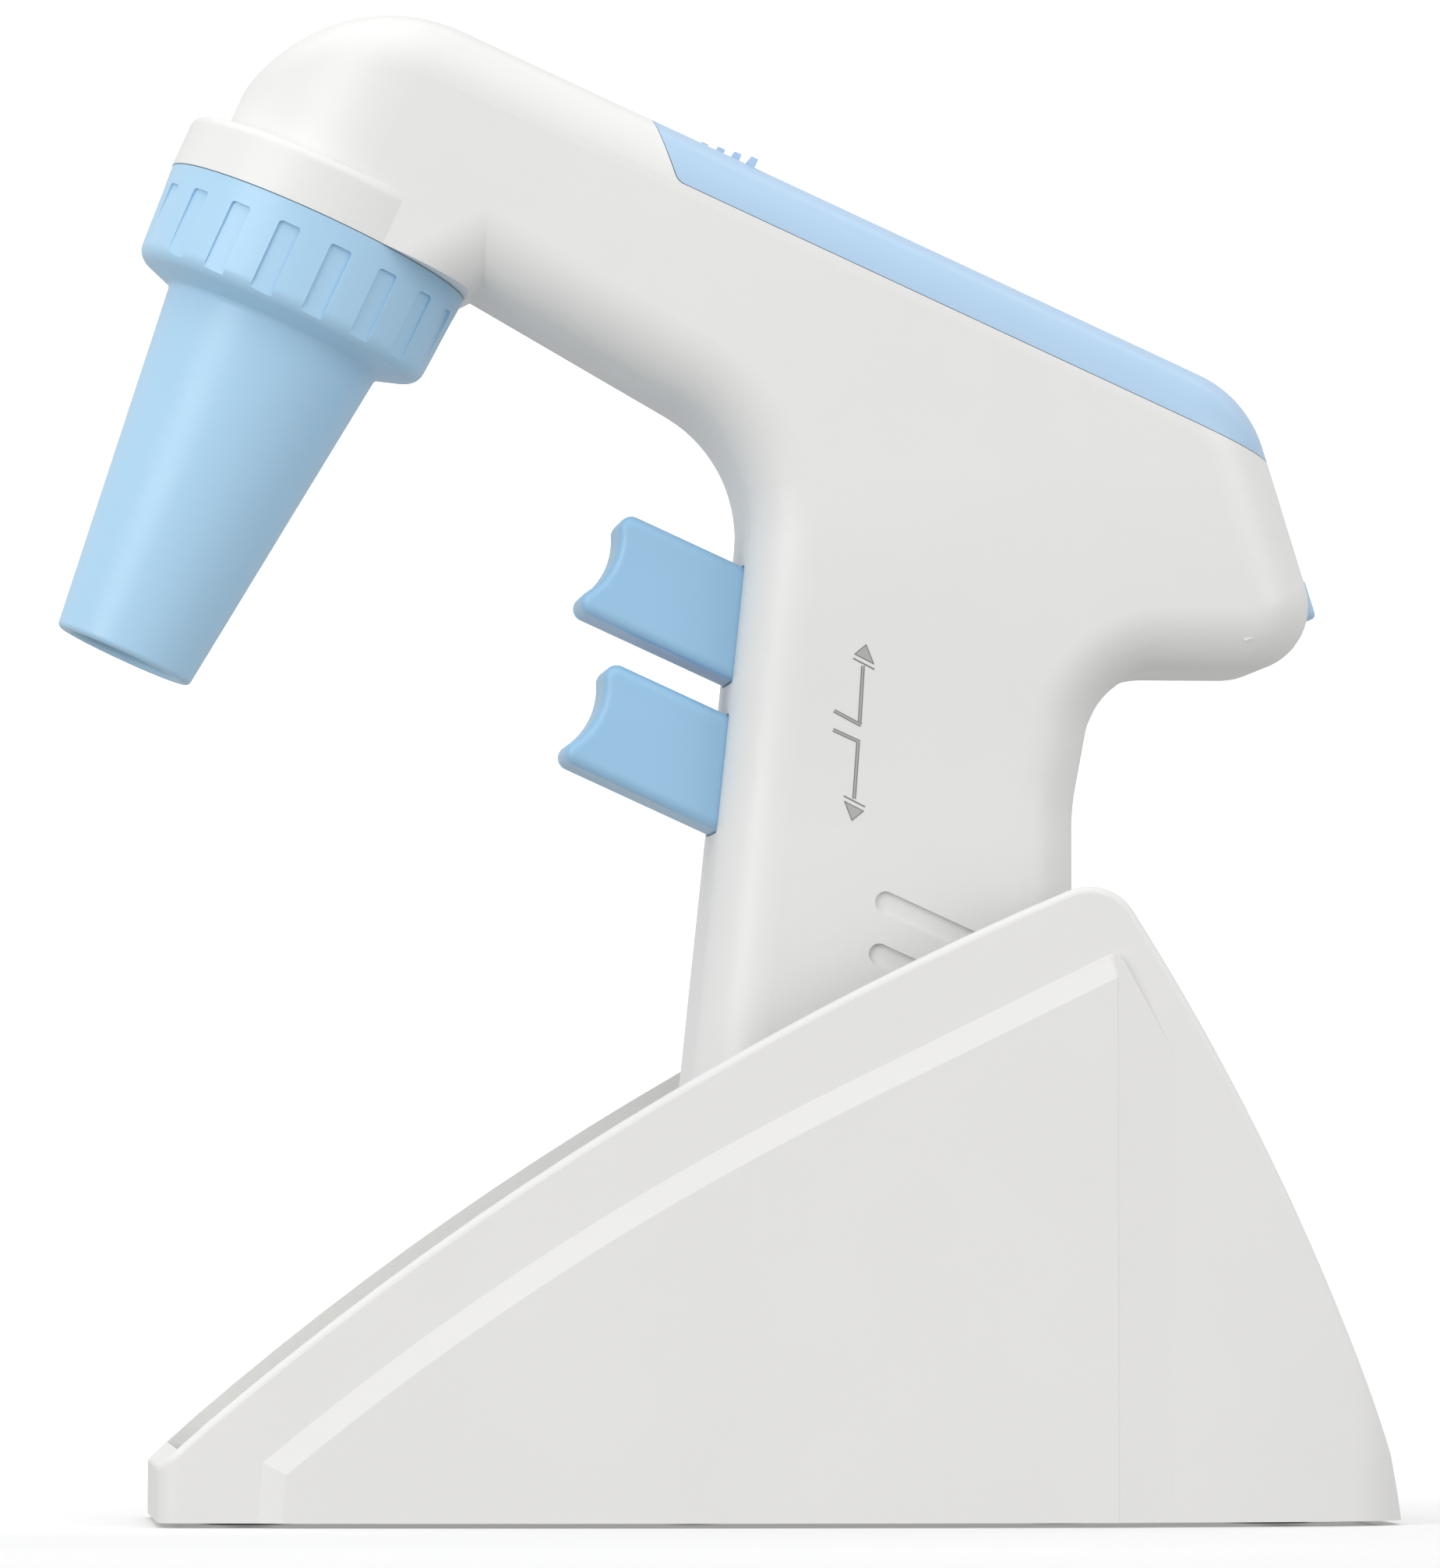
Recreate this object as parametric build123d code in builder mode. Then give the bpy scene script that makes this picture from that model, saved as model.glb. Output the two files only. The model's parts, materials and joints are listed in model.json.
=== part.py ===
from build123d import *
import math
import os

os.makedirs("parts", exist_ok=True)

# Motorised pipette controller resting in a wedge-shaped bench stand.
# Millimetres. +Z is up, the nose of the controller points towards -X, and the side with the printed
# arrows is -Y. The origin is the centre of the stand's footprint on the bench.

# ---------------------------------------------------------------- driving dimensions
TILT = 24.5                 # slope of the arm, downwards from the head to the rear, in degrees
COLLAR_X = -56.7            # centre of the joint face between head and nose cone
COLLAR_Z = 164.8
WALL = 2.0                  # housing wall
ARM_TOP = 29.8              # height of the arm's top above the collar face, square to the arm
HEAD_FRONT = -17.0          # front of the head dome, measured along the arm
BODY_HALF = 19.0            # half width of head and arm
GRIP_HALF = 17.0            # half width of the handle
GRIP_BOTTOM = 26.0          # height of the handle's lower end above the bench
EDGE_ROUND = 8.0            # rounding along the housing's edges
HEAD_CENTRE = 2.8           # centre of the head's round plan, along the arm
COVER_SPLIT = 23.1          # height of the battery cover's lower edge
SLIP = 0.08                 # gap around parts that come off
FLANGE_R = 20.6
FLANGE_H = 7.0
FLANGE_ROUND = 1.3
SPIGOT_R = 16.8
NOSE_TIP_R = 9.2
NOSE_ROOT_R = 14.5
NOSE_LENGTH = 59.9
RING_H = 12.3
POCKETS = 18
TRIGGER_HALF = 7.5          # half width of a trigger
TRIGGER_EDGE = 1.4          # rounding along a trigger's edges
UPPER_LOW, UPPER_HIGH = -30.6, -16.7     # upper trigger, bottom and top, square to the arm
LOWER_LOW, LOWER_HIGH = -48.9, -34.8     # lower trigger
UPPER_TRAVEL = 7.0
LOWER_TRAVEL = 6.0
CELL_R = 5.25               # AAA cell
CELL_LENGTH = 44.5
CELL_PITCH = 10.9
STAND_FRONT = -77.5
STAND_REAR = 79.8
STAND_WALL = 2.5
STAND_BASE = 0.6            # the shell's lower edge, held up by the feet
GRIP_FRONT_FOOT = -12.6     # front of the handle at its lower end
GRIP_REAR = 39.2            # rear of the handle

tilt_cos = math.cos(math.radians(TILT))
tilt_sin = math.sin(math.radians(TILT))


def on_arm(along, up):
    """Row X and Z of a point given along the arm and square to it, from the collar's centre."""
    return (
        COLLAR_X + along * tilt_cos + up * tilt_sin,
        COLLAR_Z - along * tilt_sin + up * tilt_cos,
    )


def arm_side(across=0.0):
    """Side view of the arm at the given Y: local x runs along the arm, local y square to it."""
    return Plane(
        origin=(COLLAR_X, across, COLLAR_Z),
        x_dir=(tilt_cos, 0, -tilt_sin),
        z_dir=(0, -1, 0),
    )


def nose_level(up, along=0.0):
    """Plane square to the nose axis: local x runs along the arm, local y is +Y."""
    x, z = on_arm(along, up)
    return Plane(origin=(x, 0, z), x_dir=(tilt_cos, 0, -tilt_sin), z_dir=(tilt_sin, 0, tilt_cos))


def arm_section(along, up=0.0, across=0.0):
    """Plane square to the arm: local x is +Y, local y is square to the arm."""
    x, z = on_arm(along, up)
    return Plane(origin=(x, across, z), x_dir=(0, 1, 0), z_dir=(tilt_cos, 0, -tilt_sin))


def corner_round(sketch, corners):
    """Rounds the sketch's corners; each entry is ((x, y), radius), radius 0 stays sharp."""
    for (x, y), radius in corners:
        if radius:
            near = sketch.vertices().sort_by(lambda v: (v.X - x) ** 2 + (v.Y - y) ** 2)[0]
            fillet(near, radius)


# ---------------------------------------------------------------- housing
REAR_FOOT = (72.6, 108.5)
housing_corners = [
    (on_arm(HEAD_FRONT, 0.0), 0),
    (on_arm(HEAD_FRONT, ARM_TOP), 23.0),
    (on_arm(116.4, ARM_TOP), 15.0),
    (REAR_FOOT, 8.3),
    ((42.4, 108.5), 10.0),
    ((GRIP_REAR, 90.9), 30.0),
    ((GRIP_REAR, GRIP_BOTTOM), 8.3),
    ((GRIP_FRONT_FOOT, GRIP_BOTTOM), 8.3),
    ((-1.0, 136.6), 18.0),
    ((-36.5, 157.0), 0),
    (on_arm(FLANGE_R, 0.0), 0),
]
NARROW_LOW, NARROW_HIGH = 88.0, 132.0    # the handle widens to the body between these heights


def along_of(point):
    return (point.X - COLLAR_X) * tilt_cos - (point.Z - COLLAR_Z) * tilt_sin


def up_of(point):
    return (point.X - COLLAR_X) * tilt_sin + (point.Z - COLLAR_Z) * tilt_cos


def is_outer_edge(edge):
    """True for the edges where the side faces meet the outline, which are the ones rounded."""
    start, middle, end = edge.position_at(0), edge.position_at(0.5), edge.position_at(1)
    if edge.geom_type == GeomType.LINE:
        if abs(start.Y - end.Y) > 5:
            return False
        if all(abs(p.Z - NARROW_LOW) < 0.01 for p in (start, end)):
            return False
        if all(abs(p.Z - NARROW_HIGH) < 0.01 for p in (start, end)):
            return False
        if all(abs(along_of(p) - HEAD_CENTRE) < 0.01 for p in (start, end)):
            return False
    levels = [up_of(p) for p in (start, middle, end)]
    return max(levels) - min(levels) > 0.02 or min(levels) > 5.0


def housing_form(inset, rounding):
    """The controller's solid outer form, or the same form brought inwards by inset."""
    body_half = BODY_HALF - inset
    grip_half = GRIP_HALF - inset
    with BuildPart() as form:
        with BuildSketch(Plane.XZ) as outline:
            with BuildLine():
                Polyline(*[corner for corner, radius in housing_corners], close=True)
            make_face()
            corner_round(outline, housing_corners)
            if inset:
                offset(amount=-inset, kind=Kind.INTERSECTION)
        extrude(amount=body_half, both=True)
        # the head is round seen from above
        with BuildSketch(nose_level(-180)):
            with Locations((HEAD_CENTRE, 0)):
                Circle(body_half)
            with Locations((HEAD_CENTRE + 150, 0)):
                Rectangle(300, 2 * body_half)
        extrude(amount=260, mode=Mode.INTERSECT)
        # seen from the front the handle is narrower than the body
        with BuildSketch(Plane.YZ.offset(-120)):
            with BuildLine():
                Polyline((0, 0), (grip_half, 0), (grip_half, NARROW_LOW))
                Spline(
                    (grip_half, NARROW_LOW),
                    (body_half, NARROW_HIGH),
                    tangents=((0, 1), (0, 1)),
                )
                Polyline((body_half, NARROW_HIGH), (body_half, 210), (0, 210), (0, 0))
            make_face()
            mirror(about=Plane.YZ)
        extrude(amount=260, mode=Mode.INTERSECT)
        fillet(form.edges().filter_by(is_outer_edge), rounding)
    return form.part


outer_form = housing_form(0, EDGE_ROUND)
inner_form = housing_form(WALL, EDGE_ROUND - WALL)

# the flange above the nose cone's collar
with BuildPart() as head_flange:
    with BuildSketch(nose_level(0)):
        Circle(FLANGE_R)
    extrude(amount=FLANGE_H)
    top_edge = head_flange.edges().filter_by(lambda e: abs(up_of(e.center()) - FLANGE_H) < 0.1)
    fillet(top_edge, FLANGE_ROUND)

PLATE_LOW, PLATE_HIGH = 2.0, 4.5         # the spigot's plate, held between the two halves
PLATE_R = 18.4
PLATE_FIT = 0.2


# the back of the body is a plane leaning forwards; the latch and the cover's tongue sit in it
back_x, back_z = on_arm(116.4, ARM_TOP)
back_run = REAR_FOOT[0] - back_x
back_drop = back_z - REAR_FOOT[1]
back_length = math.hypot(back_run, back_drop)
BACK_OUT = (back_drop / back_length, 0, back_run / back_length)


def back_plane(height, out=0.0):
    """Plane on the back face at the given height: local x is +Y, local y runs up the face."""
    x = REAR_FOOT[0] - (height - REAR_FOOT[1]) * back_run / back_drop
    return Plane(
        origin=(x + BACK_OUT[0] * out, 0, height + BACK_OUT[2] * out),
        x_dir=(0, 1, 0),
        z_dir=BACK_OUT,
    )


TONGUE_HALF = 6.0           # half width of the cover's tongue down the back
TONGUE_LOW = 124.2          # clear of the latch while the cover slides off
LATCH_Z = 118.0
LATCH_TALL = 5.4
LATCH_HALF = 5.0
LATCH_PROUD = 1.3
LATCH_TRAVEL = 1.2
COVER_FRONT = 38.6          # front end of the cover's lower edge, along the arm
COVER_SLANT = 6.2           # how far the front edge leans forwards over the cover's height


def cover_zone(slip):
    """The region the battery cover takes up; slip makes room around it."""
    low = COVER_SPLIT - slip
    front = COVER_FRONT - slip
    with BuildPart() as zone:
        with BuildSketch(arm_side()) as side:
            with BuildLine():
                Polyline(
                    (front, low),
                    (front - COVER_SLANT, ARM_TOP),
                    (front - COVER_SLANT, 50.0),
                    (170.0, 50.0),
                    (170.0, low),
                    close=True,
                )
            make_face()
            corner_round(side, [((front, low), 2.0)])
        extrude(amount=30, both=True)
        # the tongue down the back, as far as the latch
        with BuildSketch(back_plane(TONGUE_LOW, -8)):
            with Locations((0, 15 - slip)):
                Rectangle(2 * (TONGUE_HALF + slip), 30)
        extrude(amount=20)
    return zone.part


trigger_windows = [(UPPER_LOW, UPPER_HIGH), (LOWER_LOW, LOWER_HIGH)]
WINDOW_GAP = 0.25
WINDOW_ALONG, WINDOW_DEEP = 60.0, 22.0   # the windows are cut over this stretch along the arm

# screws: position in the side view and half width of the housing there
screw_points = [
    (on_arm(31, 18.0), BODY_HALF),
    (on_arm(108, 3.5), BODY_HALF),
    (on_arm(74.3, -11.4), BODY_HALF),
    ((30.2, 41.0), GRIP_HALF),
    ((-3.0, 37.0), GRIP_HALF),
    ((30.2, 69.0), GRIP_HALF),
]
BOSS_R = 3.2
SCREW_R = 1.25
SCREW_HEAD_R = 2.4
SCREW_HEAD_Y = 5.0          # the screw heads' seats in the right half
SCREW_TIP_Y = -10.5
SCREW_HEAD_H = 1.6
CROSS_LONG, CROSS_WIDE, CROSS_DEEP = 2.6, 0.6, 0.9
THREAD_FIT = 0.05           # the screws' threads all but fill their holes
CLEAR_FIT = 0.2             # gap around screw shanks and heads that pass through
PAST = 30.0                 # cuts run this far, past anything in their way

JACK_ALONG, JACK_UP = 115.0, 15.5        # charging inlet on the right side of the body
JACK_R = 3.2
JACK_HOLE_Y = 14.0
JACK_NEAR_Y, JACK_FAR_Y = 6.0, 16.2      # the socket's body sits between these
JACK_BODY = 8.6
JACK_BORE_R, JACK_PIN_R = 2.75, 1.0

GROOVE_ALONG = 109.2        # middle of the upper grip groove
GROOVE_UP = -48.9
GROOVE_LENGTH = 20.0
GROOVE_WIDE = 2.7
GROOVE_STEP = 6.35
GROOVE_LEAN = 2.0           # each groove starts this much further along than the one above
GROOVES = 3
GROOVE_DEEP = 0.5
SPRING_RIB_OUT, SPRING_RIB_TALL, SPRING_RIB_THICK = -10.6, 6.0, 1.4    # behind the latch

with BuildPart() as housing_shell:
    add(outer_form)
    add(head_flange.part)
    add(inner_form, mode=Mode.SUBTRACT)
    # seat for the spigot's plate, and the hole it hangs down through
    with BuildSketch(nose_level(PLATE_LOW)):
        Circle(PLATE_R + PLATE_FIT)
    extrude(amount=PLATE_HIGH - PLATE_LOW, mode=Mode.SUBTRACT)
    with BuildSketch(nose_level(-1)):
        Circle(SPIGOT_R + PLATE_FIT)
    extrude(amount=4, mode=Mode.SUBTRACT)
    add(cover_zone(SLIP), mode=Mode.SUBTRACT)
    # trigger windows through the front of the handle
    for low, high in trigger_windows:
        with BuildSketch(arm_section(WINDOW_ALONG)):
            with Locations((0, (low + high) / 2)):
                RectangleRounded(
                    2 * (TRIGGER_HALF + WINDOW_GAP), high - low + 2 * WINDOW_GAP, TRIGGER_EDGE
                )
        extrude(amount=WINDOW_DEEP, mode=Mode.SUBTRACT)
    # latch window
    with BuildSketch(back_plane(LATCH_Z, -6)):
        RectangleRounded(2 * (LATCH_HALF + 0.2), LATCH_TALL + 0.4, 1.0)
    extrude(amount=12, mode=Mode.SUBTRACT)
    # rib behind the latch for its spring to push against
    with BuildSketch(back_plane(LATCH_Z, SPRING_RIB_OUT)):
        Rectangle(2 * (GRIP_HALF + 0.3), SPRING_RIB_TALL)
    extrude(amount=SPRING_RIB_THICK)
    # grip grooves low on both sides of the handle
    for face in (-GRIP_HALF, GRIP_HALF):
        with BuildSketch(arm_side(face)):
            for step in range(GROOVES):
                place = (GROOVE_ALONG + step * GROOVE_LEAN, GROOVE_UP - step * GROOVE_STEP)
                with Locations(place):
                    SlotOverall(GROOVE_LENGTH, GROOVE_WIDE)
        extrude(amount=GROOVE_DEEP, both=True, mode=Mode.SUBTRACT)


def bar(sketch_plane, point, radius, length, mode=Mode.ADD):
    """A round bar or hole, square to the plane, for use inside a BuildPart block."""
    with BuildSketch(sketch_plane) as disc:
        with Locations(point):
            Circle(radius)
    extrude(disc.sketch, amount=length, mode=mode)


with BuildPart() as housing_left:
    add(housing_shell.part)
    with BuildSketch(Plane.XZ):
        with Locations((0, 100)):
            Rectangle(400, 400)
    extrude(amount=-PAST, mode=Mode.SUBTRACT)
    for point, half_width in screw_points:
        bar(Plane.XZ, point, BOSS_R, half_width - 1)
    for point, half_width in screw_points:
        bar(Plane.XZ, point, SCREW_R + THREAD_FIT, 1 - SCREW_TIP_Y, Mode.SUBTRACT)
housing_left.part.label = "housing_left"
export_step(housing_left.part, "parts/housing_left.step")

with BuildPart() as housing_right:
    add(housing_shell.part)
    with BuildSketch(Plane.XZ):
        with Locations((0, 100)):
            Rectangle(400, 400)
    extrude(amount=PAST, mode=Mode.SUBTRACT)
    for point, half_width in screw_points:
        bar(Plane.XZ, point, BOSS_R, 1 - half_width)
    for point, half_width in screw_points:
        bar(Plane.XZ, point, SCREW_R + CLEAR_FIT, -PAST, Mode.SUBTRACT)
        bar(Plane.XZ.offset(-SCREW_HEAD_Y), point, SCREW_HEAD_R + CLEAR_FIT, -PAST, Mode.SUBTRACT)
    # opening of the charging inlet
    bar(Plane.XZ.offset(-JACK_HOLE_Y), on_arm(JACK_ALONG, JACK_UP), JACK_R, -PAST, Mode.SUBTRACT)
housing_right.part.label = "housing_right"
export_step(housing_right.part, "parts/housing_right.step")

with BuildPart() as housing_screws:
    for point, half_width in screw_points:
        bar(Plane.XZ.offset(-SCREW_HEAD_Y), point, SCREW_HEAD_R, -SCREW_HEAD_H)
        bar(Plane.XZ.offset(-SCREW_HEAD_Y), point, SCREW_R, SCREW_HEAD_Y - SCREW_TIP_Y)
        # cross recess
        with BuildSketch(Plane.XZ.offset(-SCREW_HEAD_Y - SCREW_HEAD_H)):
            with Locations(point):
                Rectangle(CROSS_LONG, CROSS_WIDE)
                Rectangle(CROSS_WIDE, CROSS_LONG)
        extrude(amount=CROSS_DEEP, mode=Mode.SUBTRACT)
housing_screws.part.label = "housing_screws"
export_step(housing_screws.part, "parts/housing_screws.step")

# ---------------------------------------------------------------- battery cover and latch
GRIP_RIBS = 4
LATCH_DEEP = 3.6            # the latch reaches this far in from the back face
LATCH_LIP_HALF = 7.0        # its lip is wider than its window
LATCH_SPRING_LONG = 4.4
RIB_STEP = 2.1
RIB_ROOT, RIB_TOP = ARM_TOP - 0.6, ARM_TOP + 0.9
with BuildPart() as battery_cover:
    add(outer_form)
    add(cover_zone(0), mode=Mode.INTERSECT)
    add(inner_form, mode=Mode.SUBTRACT)
    # grip ribs, wider towards the rear
    for rib in range(GRIP_RIBS):
        with BuildSketch(nose_level(RIB_ROOT)):
            with Locations((COVER_FRONT + 1.5 + RIB_STEP * rib, 0)):
                Rectangle(1.0, 2 * (6.5 + 2.3 * rib))
        extrude(amount=RIB_TOP - RIB_ROOT)
battery_cover.part.label = "battery_cover"
export_step(battery_cover.part, "parts/battery_cover.step")

with BuildPart() as cover_latch:
    with BuildSketch(back_plane(LATCH_Z, -LATCH_DEEP)):
        RectangleRounded(2 * LATCH_HALF, LATCH_TALL, 0.9)
    extrude(amount=LATCH_DEEP + LATCH_PROUD)
    fillet(cover_latch.faces().sort_by(Axis((0, 0, 0), BACK_OUT))[-1].edges(), 0.6)
    with BuildSketch(back_plane(LATCH_Z, -LATCH_DEEP)):
        with Locations((0, 2.0)):
            Rectangle(2 * LATCH_LIP_HALF, 3.8)
    extrude(amount=1.3)
cover_latch.part.label = "cover_latch"
export_step(cover_latch.part, "parts/cover_latch.step")


def coil(start, direction, length, radius, wire, turns):
    """A compression spring as one round wire."""
    with BuildPart() as spring:
        with BuildLine():
            path = Helix(
                pitch=length / turns,
                height=length,
                radius=radius,
                center=start,
                direction=direction,
            )
        with BuildSketch(Plane(origin=path @ 0, z_dir=path % 0)):
            Circle(wire)
        sweep(path=path, is_frenet=True)
    return spring.part


latch_seat = back_plane(LATCH_Z, -LATCH_DEEP - LATCH_SPRING_LONG - 0.6).origin
latch_spring = coil(
    (latch_seat.X, 0, latch_seat.Z),
    BACK_OUT,
    length=LATCH_SPRING_LONG,
    radius=1.6,
    wire=0.25,
    turns=4,
)
latch_spring.label = "latch_spring"
export_step(latch_spring, "parts/latch_spring.step")

# ---------------------------------------------------------------- nose
nose_axis = Axis((COLLAR_X, 0, COLLAR_Z), (tilt_sin, 0, tilt_cos))


def turned(corners, rounds=()):
    """A part turned about the nose axis from its half section (radius, height above the collar)."""
    with BuildPart() as lathe:
        with BuildSketch(arm_side()) as section:
            with BuildLine():
                Polyline(*corners, close=True)
            make_face()
            corner_round(section, rounds)
        revolve(axis=nose_axis)
    return lathe.part


RING_TOP_R, RING_FOOT_R = 20.5, 19.7
RING_GAP = 0.05             # between the ring and the flange above it
CONE_SHOULDER = -14.1       # height at which the cone leaves the ring
RING_DRAFT = math.degrees(math.atan((RING_TOP_R - RING_FOOT_R) / RING_H))
THREAD_GAP = 0.07           # between the ring's inside and the spigot
TIP_WALL = 1.9
SLEEVE_SEAT, SLEEVE_LEDGE = -9.4, -12.8  # the silicone sleeve's flange lies between these
POCKET_DEEP = 0.5
POCKET_TOP = -2.8
POCKET_LONG = 14.0
POCKET_WIDE = 3.0
cone_shell = turned(
    [
        (SPIGOT_R + THREAD_GAP, -RING_GAP),
        (RING_TOP_R, -RING_GAP),
        (RING_FOOT_R, -RING_H),
        (NOSE_ROOT_R, CONE_SHOULDER),
        (NOSE_TIP_R, -NOSE_LENGTH),
        (NOSE_TIP_R - TIP_WALL, -NOSE_LENGTH),
        (12.4, SLEEVE_LEDGE),
        (14.0, SLEEVE_LEDGE),
        (14.0, SLEEVE_SEAT),
        (SPIGOT_R + THREAD_GAP, SLEEVE_SEAT),
    ],
    [
        ((RING_FOOT_R, -RING_H), 2.2),
        ((NOSE_ROOT_R, CONE_SHOULDER), 1.0),
        ((NOSE_TIP_R, -NOSE_LENGTH), 0.7),
        ((NOSE_TIP_R - TIP_WALL, -NOSE_LENGTH), 0.5),
        ((RING_TOP_R, -RING_GAP), 0.2),
    ],
)
with BuildPart() as nose_cone:
    add(cone_shell)
    for pocket in range(POCKETS):
        angle = math.radians(360 / POCKETS * pocket)
        outward = (
            math.cos(angle) * tilt_cos,
            math.sin(angle),
            -math.cos(angle) * tilt_sin,
        )
        floor = Plane(
            origin=(
                COLLAR_X + RING_TOP_R * outward[0],
                RING_TOP_R * outward[1],
                COLLAR_Z + RING_TOP_R * outward[2],
            ),
            x_dir=(
                -math.sin(angle) * tilt_cos,
                math.cos(angle),
                math.sin(angle) * tilt_sin,
            ),
            z_dir=outward,
        ).rotated((RING_DRAFT, 0, 0))
        with BuildSketch(floor.offset(-POCKET_DEEP)):
            with Locations((0, POCKET_TOP - POCKET_LONG / 2)):
                RectangleRounded(POCKET_WIDE, POCKET_LONG, 0.5)
        extrude(amount=3, mode=Mode.SUBTRACT)
nose_cone.part.label = "nose_cone"
export_step(nose_cone.part, "parts/nose_cone.step")

# silicone sleeve that grips the pipette
SOCKET_R = 4.1
SOCKET_DEPTH = 25.0
SLEEVE_TOP, SLEEVE_TIP = -9.2, -58.9
SLEEVE_R, SLEEVE_TIP_R = 13.6, 6.95
FILTER_BORE_R = 2.3
pipette_holder = turned(
    [
        (FILTER_BORE_R, SLEEVE_TOP),
        (SLEEVE_R, SLEEVE_TOP),
        (SLEEVE_R, SLEEVE_LEDGE + 0.05),
        (12.0, SLEEVE_LEDGE + 0.05),
        (SLEEVE_TIP_R, SLEEVE_TIP),
        (5.3, SLEEVE_TIP),
        (SOCKET_R, SLEEVE_TIP + 2),
        (SOCKET_R, SLEEVE_TIP + 2 + SOCKET_DEPTH),
        (FILTER_BORE_R, SLEEVE_TIP + SOCKET_DEPTH + 4),
    ],
    [((SLEEVE_R, SLEEVE_TOP), 0.5), ((SLEEVE_TIP_R, SLEEVE_TIP), 0.4)],
)
pipette_holder.label = "pipette_holder"
export_step(pipette_holder, "parts/pipette_holder.step")

membrane_filter = turned(
    [
        (1.0, -1.5),
        (2.0, -1.5),
        (2.0, -6.0),
        (13.4, -6.0),
        (13.4, -8.6),
        (2.2, -8.6),
        (2.2, -14.0),
        (1.0, -14.0),
    ]
)
membrane_filter.label = "membrane_filter"
export_step(membrane_filter, "parts/membrane_filter.step")

ORING_UP = -4.6
ORING_WIRE = 0.55
ORING_SLOT = ORING_WIRE + 0.1
SPIGOT_FOOT, SPIGOT_CEILING = -8.6, -0.6
SPIGOT_BORE_R = 14.6
FILTER_PORT_R = 2.08
HOSE_TAIL_TOP = 9.5
nose_spigot = turned(
    [
        (SPIGOT_BORE_R, SPIGOT_FOOT),
        (SPIGOT_R, SPIGOT_FOOT),
        (SPIGOT_R, ORING_UP - ORING_SLOT),
        (SPIGOT_R - 1.2, ORING_UP - ORING_SLOT),
        (SPIGOT_R - 1.2, ORING_UP + ORING_SLOT),
        (SPIGOT_R, ORING_UP + ORING_SLOT),
        (SPIGOT_R, PLATE_LOW + 0.05),
        (PLATE_R, PLATE_LOW + 0.05),
        (PLATE_R, PLATE_HIGH - 0.05),
        (1.5, PLATE_HIGH - 0.05),
        (1.5, HOSE_TAIL_TOP),
        (0.8, HOSE_TAIL_TOP),
        (0.8, 0.6),
        (FILTER_PORT_R, 0.6),
        (FILTER_PORT_R, -2.4),
        (4.0, -2.4),
        (4.0, SPIGOT_CEILING),
        (SPIGOT_BORE_R, SPIGOT_CEILING),
    ]
)
nose_spigot.label = "nose_spigot"
export_step(nose_spigot, "parts/nose_spigot.step")

with BuildPart() as spigot_oring:
    with BuildSketch(arm_side()):
        with Locations((SPIGOT_R - 0.58, ORING_UP)):
            Circle(ORING_WIRE)
    revolve(axis=nose_axis)
spigot_oring.part.label = "spigot_oring"
export_step(spigot_oring.part, "parts/spigot_oring.step")

# ---------------------------------------------------------------- triggers
STEM_R = 1.5
TRIGGER_TOP_R, TRIGGER_TOE_R = 1.7, 1.6    # front corners, seen from the side
LIP_THICK = 1.8
STEM_SINK = 4.2             # the stem is pressed this deep into the trigger
STEM_FIT = 0.03


def trigger(low, high, front, flange):
    """A finger trigger with a dished front; flange is where its inner lip starts."""
    middle = (low + high) / 2
    with BuildPart() as lever:
        with BuildSketch(arm_side()) as side:
            with BuildLine():
                Polyline(front[2], (flange + LIP_THICK, low), (flange + LIP_THICK, high), front[0])
                ThreePointArc(*front)
            make_face()
            corner_round(side, [(front[0], TRIGGER_TOP_R), (front[2], TRIGGER_TOE_R)])
        extrude(amount=TRIGGER_HALF, both=True)
        fillet(lever.faces().filter_by(Axis.Y).edges(), TRIGGER_EDGE)
        # inner lip that keeps it in the handle
        with BuildSketch(arm_section(flange)):
            with Locations((0, middle)):
                Rectangle(2 * TRIGGER_HALF + 2, high - low + 3)
        extrude(amount=LIP_THICK)
        # hole for the stem
        with BuildSketch(arm_section(flange - STEM_SINK - 0.2)):
            with Locations((0, middle)):
                Circle(STEM_R + STEM_FIT)
        extrude(amount=10, mode=Mode.SUBTRACT)
    return lever.part


UPPER_LIP = 76.4
LOWER_LIP = 81.2
trigger_upper = trigger(
    UPPER_LOW,
    UPPER_HIGH,
    [(48.6, UPPER_HIGH), (51.6, -23.6), (47.6, UPPER_LOW)],
    UPPER_LIP,
)
trigger_upper.label = "trigger_upper"
export_step(trigger_upper, "parts/trigger_upper.step")

trigger_lower = trigger(
    LOWER_LOW,
    LOWER_HIGH,
    [(54.8, LOWER_HIGH), (57.8, -41.6), (53.9, LOWER_LOW)],
    LOWER_LIP,
)
trigger_lower.label = "trigger_lower"
export_step(trigger_lower, "parts/trigger_lower.step")

upper_middle = (UPPER_LOW + UPPER_HIGH) / 2
lower_middle = (LOWER_LOW + LOWER_HIGH) / 2
UPPER_BLOCK, LOWER_BLOCK = 91.0, 96.0    # front faces of the valve block behind each trigger
STEM_REACH = 6.0            # how far the stems stand in the valve block
SEAL_R = 3.0
SEAL_WIRE = 0.7


def stem(start, end, height):
    """Valve stem with a pointed end."""
    with BuildPart() as pin:
        with BuildSketch(arm_section(start, height)):
            Circle(STEM_R)
        extrude(amount=end - start)
        chamfer(pin.edges().sort_by(lambda e: along_of(e.center()))[-1], 1.2)
    return pin.part


trigger_upper_stem = stem(UPPER_LIP - STEM_SINK, UPPER_BLOCK + STEM_REACH, upper_middle)
trigger_upper_stem.label = "trigger_upper_stem"
export_step(trigger_upper_stem, "parts/trigger_upper_stem.step")

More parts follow.
